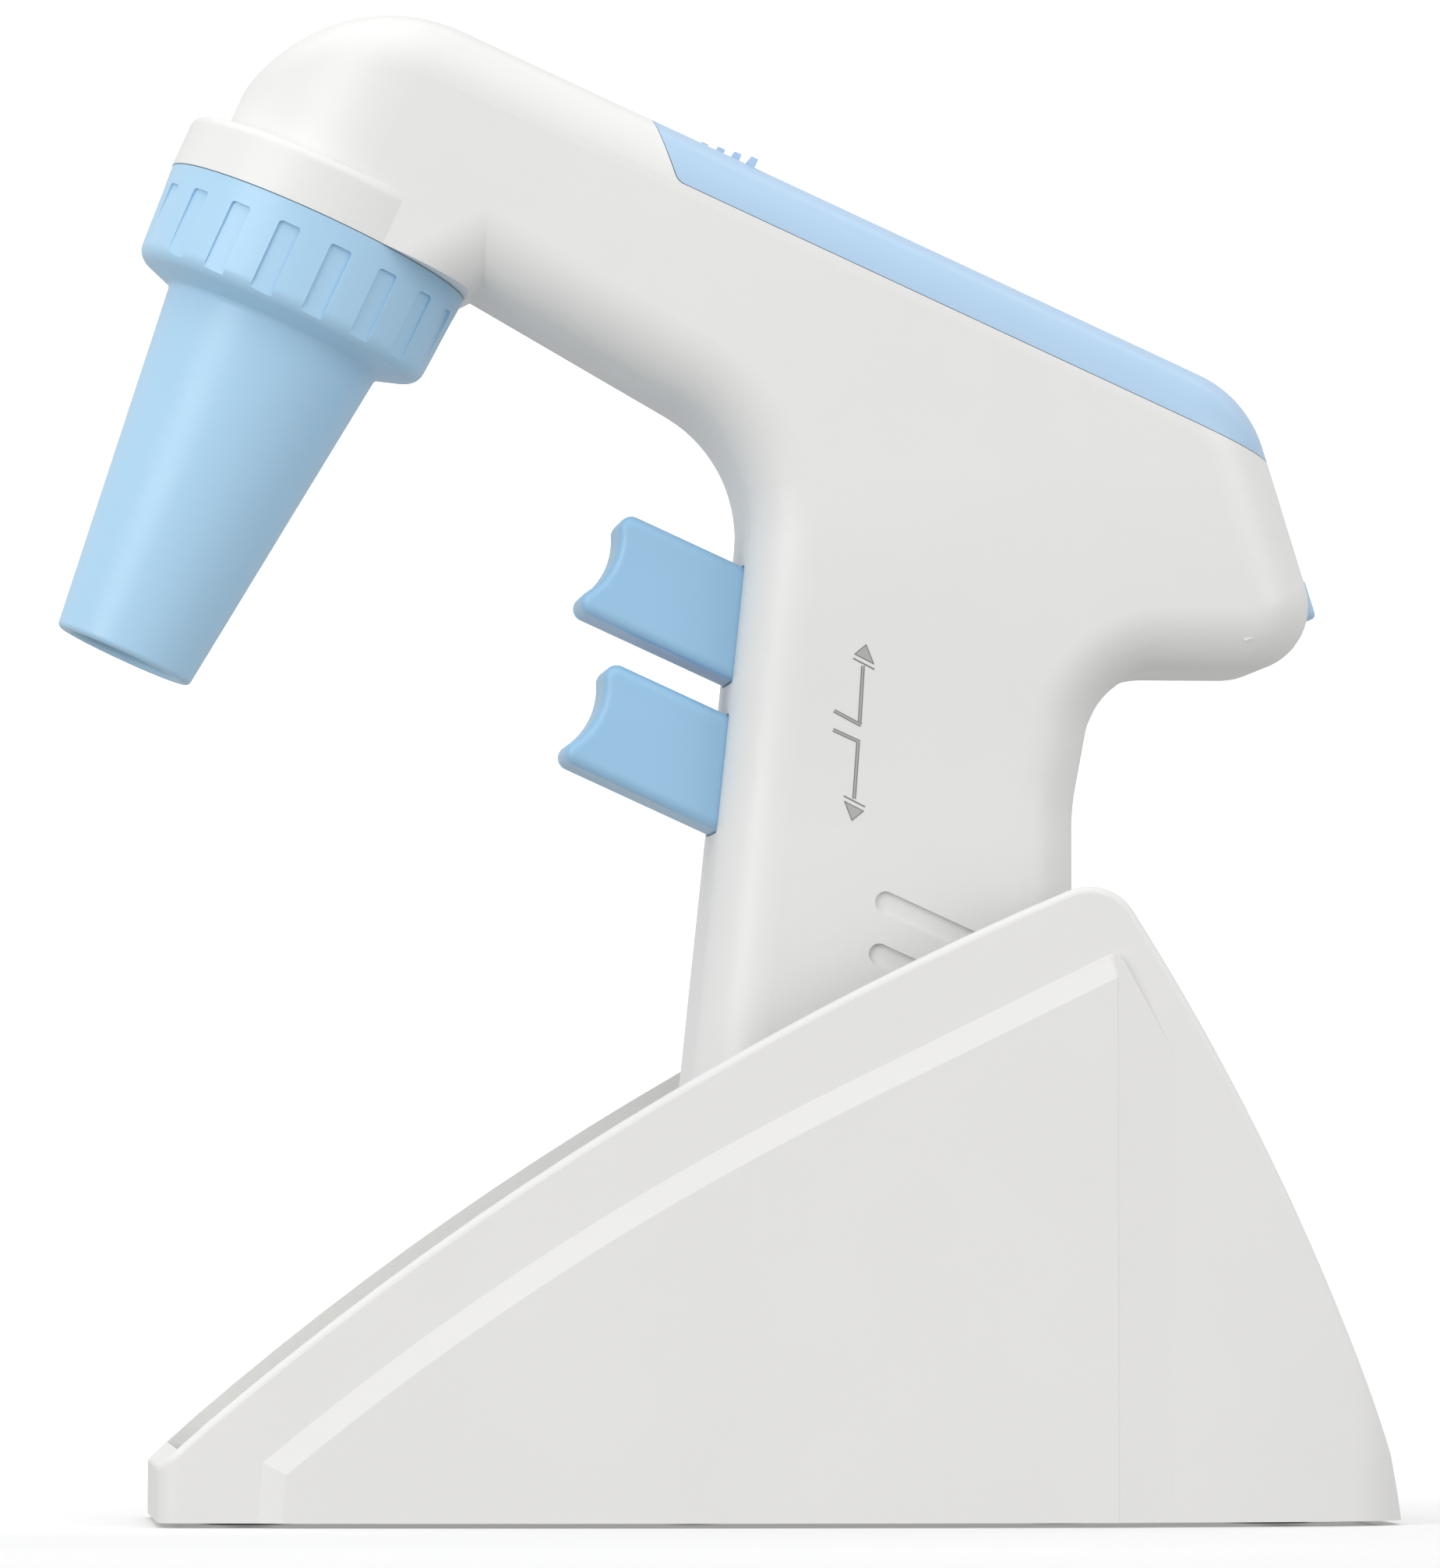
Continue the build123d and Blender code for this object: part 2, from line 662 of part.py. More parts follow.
trigger_lower_stem = stem(LOWER_LIP - STEM_SINK, LOWER_BLOCK + STEM_REACH, lower_middle)
trigger_lower_stem.label = "trigger_lower_stem"
export_step(trigger_lower_stem, "parts/trigger_lower_stem.step")

arm_direction = (tilt_cos, 0, -tilt_sin)
for name, start, end, height in (
    ("trigger_upper_spring", UPPER_LIP + 2.3, UPPER_BLOCK - 0.5, upper_middle),
    ("trigger_lower_spring", LOWER_LIP + 2.3, LOWER_BLOCK - 0.5, lower_middle),
):
    x, z = on_arm(start, height)
    spring_part = coil((x, 0, z), arm_direction, end - start, radius=3.1, wire=0.35, turns=5)
    spring_part.label = name
    export_step(spring_part, "parts/" + name + ".step")

# ---------------------------------------------------------------- valve block and switches
NIPPLE_R = 1.5
SMALL_NIPPLE_R = 1.25
GALLERY_ALONG = 101.0
LOWER_PORT_ALONG = 98.5
SMALL_NIPPLE_LONG = 2.4
TUBE_Y = 6.0
AIRWAY_R, GALLERY_R = 0.7, 0.8
BLOCK_TOP, BLOCK_LOW, BLOCK_STEP = -14.0, -50.3, -34.6
with BuildPart() as valve_block:
    with BuildSketch(arm_side()):
        with BuildLine():
            Polyline(
                (UPPER_BLOCK, BLOCK_TOP),
                (109.0, BLOCK_TOP),
                (113.0, BLOCK_STEP),
                (113.0, BLOCK_LOW),
                (LOWER_BLOCK, BLOCK_LOW),
                (LOWER_BLOCK, BLOCK_STEP),
                (UPPER_BLOCK, BLOCK_STEP),
                close=True,
            )
        make_face()
    extrude(amount=10, both=True)
    for front, middle in ((UPPER_BLOCK, upper_middle), (LOWER_BLOCK, lower_middle)):
        bar(arm_section(front, middle), (0, 0), SEAL_R + 0.05, 1.6, Mode.SUBTRACT)
        bar(arm_section(front, middle), (0, 0), STEM_R + 0.08, 14.5, Mode.SUBTRACT)
    bar(nose_level(BLOCK_TOP, GALLERY_ALONG), (0, 0), NIPPLE_R, 4)
    for y in (-TUBE_Y, TUBE_Y):
        bar(nose_level(BLOCK_LOW, LOWER_PORT_ALONG), (0, y), SMALL_NIPPLE_R, -SMALL_NIPPLE_LONG)
        bar(nose_level(BLOCK_LOW - 4, LOWER_PORT_ALONG), (0, y), AIRWAY_R, 12, Mode.SUBTRACT)
    bar(nose_level(BLOCK_TOP + 4, GALLERY_ALONG), (0, 0), GALLERY_R, -38, Mode.SUBTRACT)
valve_block.part.label = "valve_block"
export_step(valve_block.part, "parts/valve_block.step")

with BuildPart() as valve_seals:
    for front, middle in ((UPPER_BLOCK, upper_middle), (LOWER_BLOCK, lower_middle)):
        x, z = on_arm(front + 0.8, middle)
        with BuildSketch(arm_side()):
            with Locations((front + 0.8, middle + SEAL_R - SEAL_WIRE)):
                Circle(SEAL_WIRE)
        revolve(axis=Axis((x, 0, z), arm_direction))
valve_seals.part.label = "valve_seals"
export_step(valve_seals.part, "parts/valve_seals.step")

SWITCH_Y = 7.6
SWITCH_LONG, SWITCH_WIDE, SWITCH_TALL = 4.95, 4.4, 9.0
with BuildPart() as micro_switches:
    for front, middle in ((UPPER_BLOCK, upper_middle), (LOWER_BLOCK, lower_middle)):
        with BuildSketch(arm_section(front - SWITCH_LONG - 0.05, middle)):
            with Locations((SWITCH_Y, 0)):
                Rectangle(SWITCH_WIDE, SWITCH_TALL)
        extrude(amount=SWITCH_LONG)
        # plunger
        with BuildSketch(arm_section(front - SWITCH_LONG - 0.55, middle)):
            with Locations((SWITCH_Y, 2.0)):
                Circle(0.7)
        extrude(amount=1.0)
micro_switches.part.label = "micro_switches"
export_step(micro_switches.part, "parts/micro_switches.step")

# ---------------------------------------------------------------- motor and pump
PUMP_X = 13.5
PUMP_HALF = 13.0
MOTOR_R = 12.0
MOTOR_LOW, MOTOR_HIGH = 30.2, 50.2
BASE_LOW, BASE_HIGH = 50.4, 58.4
FOIL_HIGH = 59.2
PLATE_TOP = 62.2
PUMP_TOP = 65.2
PUMP_SCREW = 10.3
SHAFT_R = 1.0
ECCENTRICITY = 1.2
ENDCAP_LOW = 28.6
SLEEVE_LOW, SLEEVE_LONG, SLEEVE_WALL = 36.0, 10.0, 1.2
SHAFT_LOW, SHAFT_LONG = 31.0, 25.0
ROTOR_LOW, ROTOR_LONG = 32.0, 13.0
CRANK_LOW, CRANK_TALL, CRANK_R = 51.8, 3.8, 4.2
PUMP_SCREW_R, PUMP_SCREW_HEAD_R, PUMP_SCREW_HEAD_H = 1.08, 1.9, 1.2
PUMP_SCREW_LONG = 13.0
PORT_X = 4.0


def level(height):
    return Plane.XY.offset(height)


with BuildPart() as motor_can:
    bar(level(MOTOR_LOW), (PUMP_X, 0), MOTOR_R, MOTOR_HIGH - MOTOR_LOW)
    fillet(motor_can.edges().sort_by(Axis.Z)[-1], 1.2)
    bar(level(MOTOR_LOW), (PUMP_X, 0), MOTOR_R - 1, MOTOR_HIGH - MOTOR_LOW - 3, Mode.SUBTRACT)
    bar(level(MOTOR_LOW), (PUMP_X, 0), SHAFT_R + 0.08, PAST, Mode.SUBTRACT)
motor_can.part.label = "motor_can"
export_step(motor_can.part, "parts/motor_can.step")

with BuildPart() as motor_endcap:
    bar(level(ENDCAP_LOW), (PUMP_X, 0), MOTOR_R - 1.2, MOTOR_LOW - ENDCAP_LOW)
    # solder tags
    with BuildSketch(level(ENDCAP_LOW + 0.1)):
        with Locations((PUMP_X, 5.0), (PUMP_X, -5.0)):
            Rectangle(2.4, 0.6)
    extrude(amount=-0.6)
motor_endcap.part.label = "motor_endcap"
export_step(motor_endcap.part, "parts/motor_endcap.step")

with BuildPart() as motor_sleeve:
    bar(level(SLEEVE_LOW), (PUMP_X, 0), MOTOR_R + SLEEVE_WALL, SLEEVE_LONG)
    bar(level(SLEEVE_LOW), (PUMP_X, 0), MOTOR_R + 0.1, SLEEVE_LONG, Mode.SUBTRACT)
motor_sleeve.part.label = "motor_sleeve"
export_step(motor_sleeve.part, "parts/motor_sleeve.step")

with BuildPart() as motor_shaft:
    bar(level(SHAFT_LOW), (PUMP_X, 0), SHAFT_R, SHAFT_LONG)
    bar(level(ROTOR_LOW), (PUMP_X, 0), MOTOR_R - 2.5, ROTOR_LONG)
motor_shaft.part.label = "motor_shaft"
export_step(motor_shaft.part, "parts/motor_shaft.step")

with BuildPart() as pump_eccentric:
    bar(level(CRANK_LOW), (PUMP_X + ECCENTRICITY, 0), CRANK_R, CRANK_TALL)
    bar(level(CRANK_LOW), (PUMP_X, 0), SHAFT_R + 0.02, PAST, Mode.SUBTRACT)
pump_eccentric.part.label = "pump_eccentric"
export_step(pump_eccentric.part, "parts/pump_eccentric.step")


def pump_slab(low, high):
    """A square layer of the pump with its four screw holes, for use inside a BuildPart block."""
    with BuildSketch(level(low)) as slab:
        with Locations((PUMP_X, 0)):
            RectangleRounded(2 * PUMP_HALF, 2 * PUMP_HALF, 3)
            with GridLocations(2 * PUMP_SCREW, 2 * PUMP_SCREW, 2, 2):
                Circle(PUMP_SCREW_R + 0.07, mode=Mode.SUBTRACT)
    extrude(slab.sketch, amount=high - low)


with BuildPart() as pump_base:
    pump_slab(BASE_LOW, BASE_HIGH)
    bar(level(BASE_LOW + 1), (PUMP_X, 0), 10, 10, Mode.SUBTRACT)
    bar(level(BASE_LOW), (PUMP_X, 0), 3, 3, Mode.SUBTRACT)
pump_base.part.label = "pump_base"
export_step(pump_base.part, "parts/pump_base.step")

with BuildPart() as pump_diaphragm:
    pump_slab(BASE_HIGH, FOIL_HIGH)
    bar(level(BASE_HIGH), (PUMP_X, 0), 3.2, -2.2)
pump_diaphragm.part.label = "pump_diaphragm"
export_step(pump_diaphragm.part, "parts/pump_diaphragm.step")

with BuildPart() as pump_valve_plate:
    pump_slab(FOIL_HIGH, PLATE_TOP)
    bar(level(FOIL_HIGH), (PUMP_X, 0), 8, 1, Mode.SUBTRACT)
    for y in (-TUBE_Y, TUBE_Y):
        bar(level(FOIL_HIGH), (PUMP_X - 3, y * 0.8), 0.8, 5, Mode.SUBTRACT)
pump_valve_plate.part.label = "pump_valve_plate"
export_step(pump_valve_plate.part, "parts/pump_valve_plate.step")

with BuildPart() as pump_head:
    pump_slab(PLATE_TOP, PUMP_TOP)
    for y in (-TUBE_Y, TUBE_Y):
        bar(level(PUMP_TOP), (PORT_X, y), SMALL_NIPPLE_R, SMALL_NIPPLE_LONG)
    for y in (-TUBE_Y, TUBE_Y):
        bar(level(PUMP_TOP - 2), (PORT_X, y), AIRWAY_R, 6, Mode.SUBTRACT)
pump_head.part.label = "pump_head"
export_step(pump_head.part, "parts/pump_head.step")

with BuildPart() as pump_screws:
    with BuildSketch(level(PUMP_TOP)):
        with Locations((PUMP_X, 0)):
            with GridLocations(2 * PUMP_SCREW, 2 * PUMP_SCREW, 2, 2):
                Circle(PUMP_SCREW_HEAD_R)
    extrude(amount=PUMP_SCREW_HEAD_H)
    with BuildSketch(level(PUMP_TOP)):
        with Locations((PUMP_X, 0)):
            with GridLocations(2 * PUMP_SCREW, 2 * PUMP_SCREW, 2, 2):
                Circle(PUMP_SCREW_R)
    extrude(amount=-PUMP_SCREW_LONG)
    with BuildSketch(level(PUMP_TOP + PUMP_SCREW_HEAD_H)):
        with Locations((PUMP_X, 0)):
            with GridLocations(2 * PUMP_SCREW, 2 * PUMP_SCREW, 2, 2):
                Rectangle(2.6, 0.5)
    extrude(amount=-0.6, mode=Mode.SUBTRACT)
pump_screws.part.label = "pump_screws"
export_step(pump_screws.part, "parts/pump_screws.step")

# ---------------------------------------------------------------- air tubes


def hose(corners, bends, across, outer, inner):
    """A hose in the plane Y = across, straight over its nipples, with a round bend at each corner."""
    points = [Vector(x, across, z) for x, z in corners]
    with BuildPart() as tube:
        with BuildLine() as run:
            FilletPolyline(*points, radius=bends)
        with BuildSketch(Plane(origin=points[0], z_dir=points[1] - points[0])):
            Circle(outer)
            Circle(inner, mode=Mode.SUBTRACT)
        sweep(path=run.wires()[0])
    return tube.part


head_run = [(0, 5.0), (0, 16.8), (66, 0.9), (GALLERY_ALONG, -4.7), (GALLERY_ALONG, -13.6)]
head_tube = hose(
    [on_arm(along, up) for along, up in head_run],
    [5.5, 60.0, 5.0],
    across=0.0,
    outer=2.5,
    inner=NIPPLE_R + 0.05,
)
head_tube.label = "head_tube"
export_step(head_tube, "parts/head_tube.step")

pump_run = [
    (PORT_X, PUMP_TOP + 0.3),
    (PORT_X, PUMP_TOP + 4.8),
    on_arm(LOWER_PORT_ALONG, BLOCK_LOW - 4.9),
    on_arm(LOWER_PORT_ALONG, BLOCK_LOW - 0.3),
]
for name, y in (("suction_tube", -TUBE_Y), ("pressure_tube", TUBE_Y)):
    pump_tube = hose(pump_run, [3.4, 4.5], across=y, outer=2.0, inner=SMALL_NIPPLE_R + 0.05)
    pump_tube.label = name
    export_step(pump_tube, "parts/" + name + ".step")

# ---------------------------------------------------------------- battery and electronics
TRAY_FRONT, TRAY_REAR = 46.0, 100.4
TRAY_LOW, TRAY_FLOOR, TRAY_HIGH = 9.8, 11.8, 22.4
CELL_UP = 17.5
CELL_START = 53.6
TRAY_HALF, TRAY_WALL = 16.3, 1.8
BUTTON_R, BUTTON_LONG = 1.9, 1.0         # a cell's positive button
CONTACT_SIDE, CONTACT_THICK = 8.0, 0.35
with BuildPart() as battery_tray:
    with BuildSketch(nose_level(TRAY_LOW)):
        with Locations(((TRAY_FRONT + TRAY_REAR) / 2, 0)):
            Rectangle(TRAY_REAR - TRAY_FRONT, 2 * TRAY_HALF)
    extrude(amount=TRAY_HIGH - TRAY_LOW)
    with BuildSketch(nose_level(TRAY_FLOOR)):
        with Locations(((TRAY_FRONT + TRAY_REAR) / 2, 0)):
            Rectangle(TRAY_REAR - TRAY_FRONT - 2 * TRAY_WALL, 3 * TRAY_HALF)
    extrude(amount=TRAY_HIGH - TRAY_FLOOR, mode=Mode.SUBTRACT)
    # low ridges that keep the cells apart
    with BuildSketch(nose_level(TRAY_FLOOR - 0.1)):
        with Locations((75, -CELL_PITCH / 2), (75, CELL_PITCH / 2)):
            Rectangle(30, 1.2)
    extrude(amount=1.4)
battery_tray.part.label = "battery_tray"
export_step(battery_tray.part, "parts/battery_tray.step")

with BuildPart() as battery_cells:
    for row in (-1, 0, 1):
        can_long = CELL_LENGTH - BUTTON_LONG
        bar(arm_section(CELL_START, CELL_UP), (row * CELL_PITCH, 0), CELL_R, can_long)
        button_plane = arm_section(CELL_START + can_long, CELL_UP)
        bar(button_plane, (row * CELL_PITCH, 0), BUTTON_R, BUTTON_LONG)
battery_cells.part.label = "battery_cells"
export_step(battery_cells.part, "parts/battery_cells.step")

with BuildPart() as battery_contacts:
    for along in (TRAY_FRONT + TRAY_WALL, TRAY_REAR - TRAY_WALL - 0.4):
        with BuildSketch(arm_section(along, (TRAY_FLOOR + TRAY_HIGH) / 2)):
            with Locations((-CELL_PITCH, 0), (0, 0), (CELL_PITCH, 0)):
                Rectangle(CONTACT_SIDE, CONTACT_SIDE)
        extrude(amount=CONTACT_THICK)
battery_contacts.part.label = "battery_contacts"
export_step(battery_contacts.part, "parts/battery_contacts.step")

with BuildPart() as contact_springs:
    for row in (-1, 0, 1):
        x, z = on_arm(TRAY_FRONT + 2.5, CELL_UP)
        add(coil((x, row * CELL_PITCH, z), arm_direction, 4.6, radius=2.6, wire=0.25, turns=3))
contact_springs.part.label = "contact_springs"
export_step(contact_springs.part, "parts/contact_springs.step")

PCB_LOW, PCB_HIGH = 4.6, 6.2
PCB_ALONG = 84.5
PCB_LONG, PCB_WIDE = 37.0, 28.0
CHIP_H, TALL_PART_H = 1.2, 3.2
with BuildPart() as main_pcb:
    with BuildSketch(nose_level(PCB_LOW)):
        with Locations((PCB_ALONG, 0)):
            RectangleRounded(PCB_LONG, PCB_WIDE, 1.5)
            with GridLocations(PCB_LONG - 6, PCB_WIDE - 6, 2, 2):
                Circle(1.3, mode=Mode.SUBTRACT)
    extrude(amount=PCB_HIGH - PCB_LOW)
main_pcb.part.label = "main_pcb"
export_step(main_pcb.part, "parts/main_pcb.step")

with BuildPart() as pcb_parts:
    with BuildSketch(nose_level(PCB_HIGH)):
        with Locations((74, 2)):
            Rectangle(7, 7)
        with Locations((86, -6)):
            Rectangle(5, 4)
    extrude(amount=CHIP_H)
    with BuildSketch(nose_level(PCB_HIGH)):
        with Locations((98, 0)):
            Rectangle(5, 12)
    extrude(amount=TALL_PART_H)
    with BuildSketch(nose_level(PCB_HIGH)):
        with Locations((86, 6)):
            Circle(2.5)
    extrude(amount=TALL_PART_H)
pcb_parts.part.label = "pcb_parts"
export_step(pcb_parts.part, "parts/pcb_parts.step")

jack_x, jack_z = on_arm(JACK_ALONG, JACK_UP)
with BuildPart() as charging_jack:
    with BuildSketch(Plane.XZ.offset(-JACK_NEAR_Y)):
        with Locations((jack_x, jack_z)):
            Rectangle(JACK_BODY, JACK_BODY)
    extrude(amount=JACK_NEAR_Y - JACK_FAR_Y)
    bar(Plane.XZ.offset(-JACK_NEAR_Y - 2), (jack_x, jack_z), JACK_BORE_R, -PAST, Mode.SUBTRACT)
    bar(Plane.XZ.offset(-JACK_NEAR_Y - 1), (jack_x, jack_z), JACK_PIN_R, 1.8 + JACK_NEAR_Y - JACK_FAR_Y)
charging_jack.part.label = "charging_jack"
export_step(charging_jack.part, "parts/charging_jack.step")

# ---------------------------------------------------------------- bench stand
STAND_BOW_X = -18.0         # the side walls bow outwards through this point
STAND_BOW_HALF = 28.4
HANDLE_GATE = 41.6          # the opening for the handle ends here
PANEL_PROUD = 1.0           # height of the side panel above the wall
PANEL_BEVEL, PANEL_BEVEL_DEEP = 3.5, 1.15    # the bevel runs on a little way into the wall
CREASE_X = 42.1
PANEL_REAR = 71.4
PANEL_REAR_HALF = 28.1
RIM_ROUND = 0.9
PLATE_UNDER, PLATE_FLOOR = 0.9, 3.4      # base plate
FOOT_R = 5.0
FOOT_SINK = 1.2
STAND_SCREW_R = 1.4
STAND_SCREW_HEAD_R = 2.7
STAND_BOSS_R, STAND_BOSS_TALL = 4.8, 7.0
STAND_SCREW_HEAD_H, STAND_SCREW_LONG = 1.2, 6.6
PILOT_DEEP = 5.5            # screw holes in the bosses
CRADLE_BOSS_R, CRADLE_BOSS_TALL = 3.4, 8.0
SLOT_LONG, SLOT_WIDE, SLOT_DEEP = 3.0, 0.6, 0.8
CRADLE_FRONT, CRADLE_REAR = -13.2, 39.6
CRADLE_WALL = 2.0
CRADLE_GAP = 0.35
CRADLE_FLOOR = 2.5
CRADLE_TOP = 46.0
base_screw_points = [(-66.0, -17.6), (-66.0, 17.6), (64.0, -23.6), (64.0, 23.6)]
cradle_screw_points = [(-9.9, -14.0), (-9.9, 14.0), (36.3, -14.0), (36.3, 14.0)]
foot_points = [(-66.0, -7.0), (-66.0, 7.0), (64.0, -12.0), (64.0, 12.0)]
STAND_FRONT_HALF = 22.5
STAND_WIDE_HALF = 31.0
STAND_REAR_HALF = 26.5
STAND_WIDE_X = 45.0
RIM_START = (STAND_FRONT + 6.0, 12.9)
RIM_MIDDLE = (-11.4, 55.7)
RIM_END = (30.5, 77.2)
APEX = (41.4, 81.9)
REAR_START = (46.8, 73.2)
REAR_MIDDLE = (62.6, 44.6)
REAR_END = (77.6, 9.0)


def stand_plan(inset):
    """Footprint of the stand, for use inside a BuildSketch block."""
    with BuildLine() as edge:
        for side in (-1, 1):
            bow = ThreePointArc(
                (STAND_FRONT + inset, side * (STAND_FRONT_HALF - inset)),
                (STAND_BOW_X, side * (STAND_BOW_HALF - inset)),
                (STAND_WIDE_X, side * (STAND_WIDE_HALF - inset)),
            )
            rear_corner = (STAND_REAR - inset, side * (STAND_REAR_HALF - inset))
            TangentArc(bow @ 1, rear_corner, tangent=bow % 1)
        for x, half in (
            (STAND_FRONT + inset, STAND_FRONT_HALF - inset),
            (STAND_REAR - inset, STAND_REAR_HALF - inset),
        ):
            Line((x, -half), (x, half))
    make_face(edge.edges())


def is_rim_edge(edge):
    """True for the edges between the stand's upright walls and the slopes above them."""
    start, end = edge.position_at(0), edge.position_at(1)
    upright = math.hypot(start.X - end.X, start.Y - end.Y) < 0.01
    across = abs(start.Y - end.Y) > 10 and start.X > STAND_FRONT + 1
    base = max(start.Z, end.Z) < STAND_BASE + 0.1
    return not (upright or across or base)


with BuildPart() as stand_form:
    with BuildSketch(level(STAND_BASE)) as footprint:
        stand_plan(0)
        corner_round(
            footprint,
            [
                ((STAND_FRONT, -STAND_FRONT_HALF), 3.0),
                ((STAND_FRONT, STAND_FRONT_HALF), 3.0),
                ((STAND_REAR, -STAND_REAR_HALF), 9.0),
                ((STAND_REAR, STAND_REAR_HALF), 9.0),
            ],
        )
    extrude(amount=100)
    with BuildSketch(Plane.XZ) as profile:
        with BuildLine():
            Polyline(
                REAR_END,
                (STAND_REAR, STAND_BASE - 2),
                (STAND_FRONT - 8, STAND_BASE - 2),
                (STAND_FRONT - 8, 0.4),
                RIM_START,
            )
            ThreePointArc(RIM_START, RIM_MIDDLE, RIM_END)
            Polyline(RIM_END, APEX, REAR_START)
            ThreePointArc(REAR_START, REAR_MIDDLE, REAR_END)
        make_face()
        corner_round(profile, [(APEX, 6.5)])
    extrude(amount=50, both=True, mode=Mode.INTERSECT)

# the inside: open at the top in front of the handle, closed behind it by the sloping rear wall
with BuildPart() as stand_hollow:
    with BuildSketch(level(STAND_BASE - 1)):
        stand_plan(STAND_WALL)
    extrude(amount=120)
    with BuildSketch(Plane.XZ):
        with BuildLine():
            Polyline(
                (75.0, 8.4),
                (76.8, -5.0),
                (-100.0, -5.0),
                (-100.0, 110.0),
                (HANDLE_GATE, 110.0),
                (HANDLE_GATE, 75.0),
                (43.8, 72.4),
            )
            ThreePointArc((43.8, 72.4), (60.2, 43.4), (75.0, 8.4))
        make_face()
    extrude(amount=50, both=True, mode=Mode.INTERSECT)

# raised side panel, left of its crease: proud of the wall and bevelled
with BuildPart() as side_panel:
    with BuildSketch(Plane.XZ.offset(20)):
        with BuildLine():
            Polyline((CREASE_X, STAND_BASE), (-65.6, STAND_BASE), (-64.9, 8.4))
            ThreePointArc((-64.9, 8.4), (-28.0, 35.6), (8.0, 55.9))
            Polyline((8.0, 55.9), (41.0, 72.1), (CREASE_X, 72.2), (CREASE_X, STAND_BASE))
        make_face()
    extrude(amount=20)
    with BuildSketch(level(0)):
        with BuildLine():
            ThreePointArc(
                (STAND_FRONT, -STAND_FRONT_HALF - PANEL_PROUD),
                (STAND_BOW_X, -STAND_BOW_HALF - PANEL_PROUD),
                (STAND_WIDE_X, -STAND_WIDE_HALF - PANEL_PROUD),
            )
            Polyline(
                (STAND_WIDE_X, -STAND_WIDE_HALF - PANEL_PROUD),
                (STAND_WIDE_X, 0),
                (STAND_FRONT, 0),
                (STAND_FRONT, -STAND_FRONT_HALF - PANEL_PROUD),
            )
        make_face()
    extrude(amount=100, mode=Mode.INTERSECT)
    panel_face = side_panel.faces().filter_by(GeomType.CYLINDER).sort_by(Axis.Y)[0]
    bevel_edges = panel_face.edges().filter_by(
        lambda e: e.bounding_box().max.Z > STAND_BASE + 0.1
        and e.bounding_box().min.X < CREASE_X - 0.1
    )
    chamfer(bevel_edges, PANEL_BEVEL, PANEL_BEVEL_DEEP, reference=panel_face)

# right of the crease the panel turns inwards and ends slightly below the wall
CREASE_Y = -(STAND_WIDE_HALF + PANEL_PROUD - 0.1)
crease_plane = Plane(
    origin=(CREASE_X, CREASE_Y, 0),
    x_dir=(PANEL_REAR - CREASE_X, -PANEL_REAR_HALF - CREASE_Y, 0),
    z_dir=(-PANEL_REAR_HALF - CREASE_Y, CREASE_X - PANEL_REAR, 0),
)


def rear_panel(grow):
    """Side outline of the panel behind its crease, for use inside a BuildSketch block."""
    with BuildLine() as edge:
        Polyline((29.0 + grow, -2.0), (0, -2.0), (0, 71.8 + grow), (0.9 + grow, 70.6))
        ThreePointArc((0.9 + grow, 70.6), (17.6 + grow, 38.2), (29.0 + grow, 9.0))
        Line((29.0 + grow, 9.0), (29.0 + grow, -2.0))
    make_face(edge.edges())


with BuildPart() as panel_fill:
    with BuildSketch(crease_plane):
        rear_panel(0)
    extrude(amount=-3)
with BuildPart() as panel_cut:
    with BuildSketch(crease_plane) as low:
        rear_panel(0)
    with BuildSketch(crease_plane.offset(0.9)) as high:
        rear_panel(1.1)
    loft([low.face(), high.face()])

with BuildPart() as stand_shell:
    add(stand_form.part)
    fillet(stand_shell.edges().filter_by(is_rim_edge), RIM_ROUND)
    for flip in (False, True):
        for piece, mode in (
            (side_panel.part, Mode.ADD),
            (panel_fill.part, Mode.ADD),
            (panel_cut.part, Mode.SUBTRACT),
        ):
            add(piece.mirror(Plane.XZ) if flip else piece, mode=mode)
    with BuildSketch(level(-10)):
        Rectangle(400, 400)
    extrude(amount=10 + STAND_BASE, mode=Mode.SUBTRACT)
    add(stand_hollow.part, mode=Mode.SUBTRACT)
    # bosses for the base plate's screws
    with BuildSketch(level(PLATE_FLOOR)):
        with Locations(*base_screw_points):
            Circle(STAND_BOSS_R)
    extrude(amount=STAND_BOSS_TALL)
    with BuildSketch(level(PLATE_FLOOR)):
        with Locations(*base_screw_points):
            Circle(STAND_SCREW_R + THREAD_FIT)
    extrude(amount=PILOT_DEEP, mode=Mode.SUBTRACT)
stand_shell.part.label = "stand_shell"
export_step(stand_shell.part, "parts/stand_shell.step")

with BuildPart() as stand_base_plate:
    with BuildSketch(level(PLATE_UNDER)):
        stand_plan(STAND_WALL + 0.3)
    extrude(amount=PLATE_FLOOR - PLATE_UNDER)
    # the sloping rear wall leans over the plate's rear edge
    with BuildSketch(level(PLATE_UNDER)):
        with Locations((100 + 75.2, 0)):
            Rectangle(200, 100)
    extrude(amount=PLATE_FLOOR - PLATE_UNDER, mode=Mode.SUBTRACT)
    with BuildSketch(level(PLATE_UNDER)):
        with Locations(*foot_points):
            Circle(FOOT_R + 0.1)
    extrude(amount=FOOT_SINK, mode=Mode.SUBTRACT)
    with BuildSketch(level(PLATE_UNDER)):
        with Locations(*base_screw_points, *cradle_screw_points):
            Circle(STAND_SCREW_R + CLEAR_FIT)
    extrude(amount=5, mode=Mode.SUBTRACT)
    with BuildSketch(level(PLATE_UNDER)):
        with Locations(*base_screw_points, *cradle_screw_points):
            Circle(STAND_SCREW_HEAD_R + CLEAR_FIT)
    extrude(amount=STAND_SCREW_HEAD_H + 0.1, mode=Mode.SUBTRACT)
stand_base_plate.part.label = "stand_base_plate"
export_step(stand_base_plate.part, "parts/stand_base_plate.step")

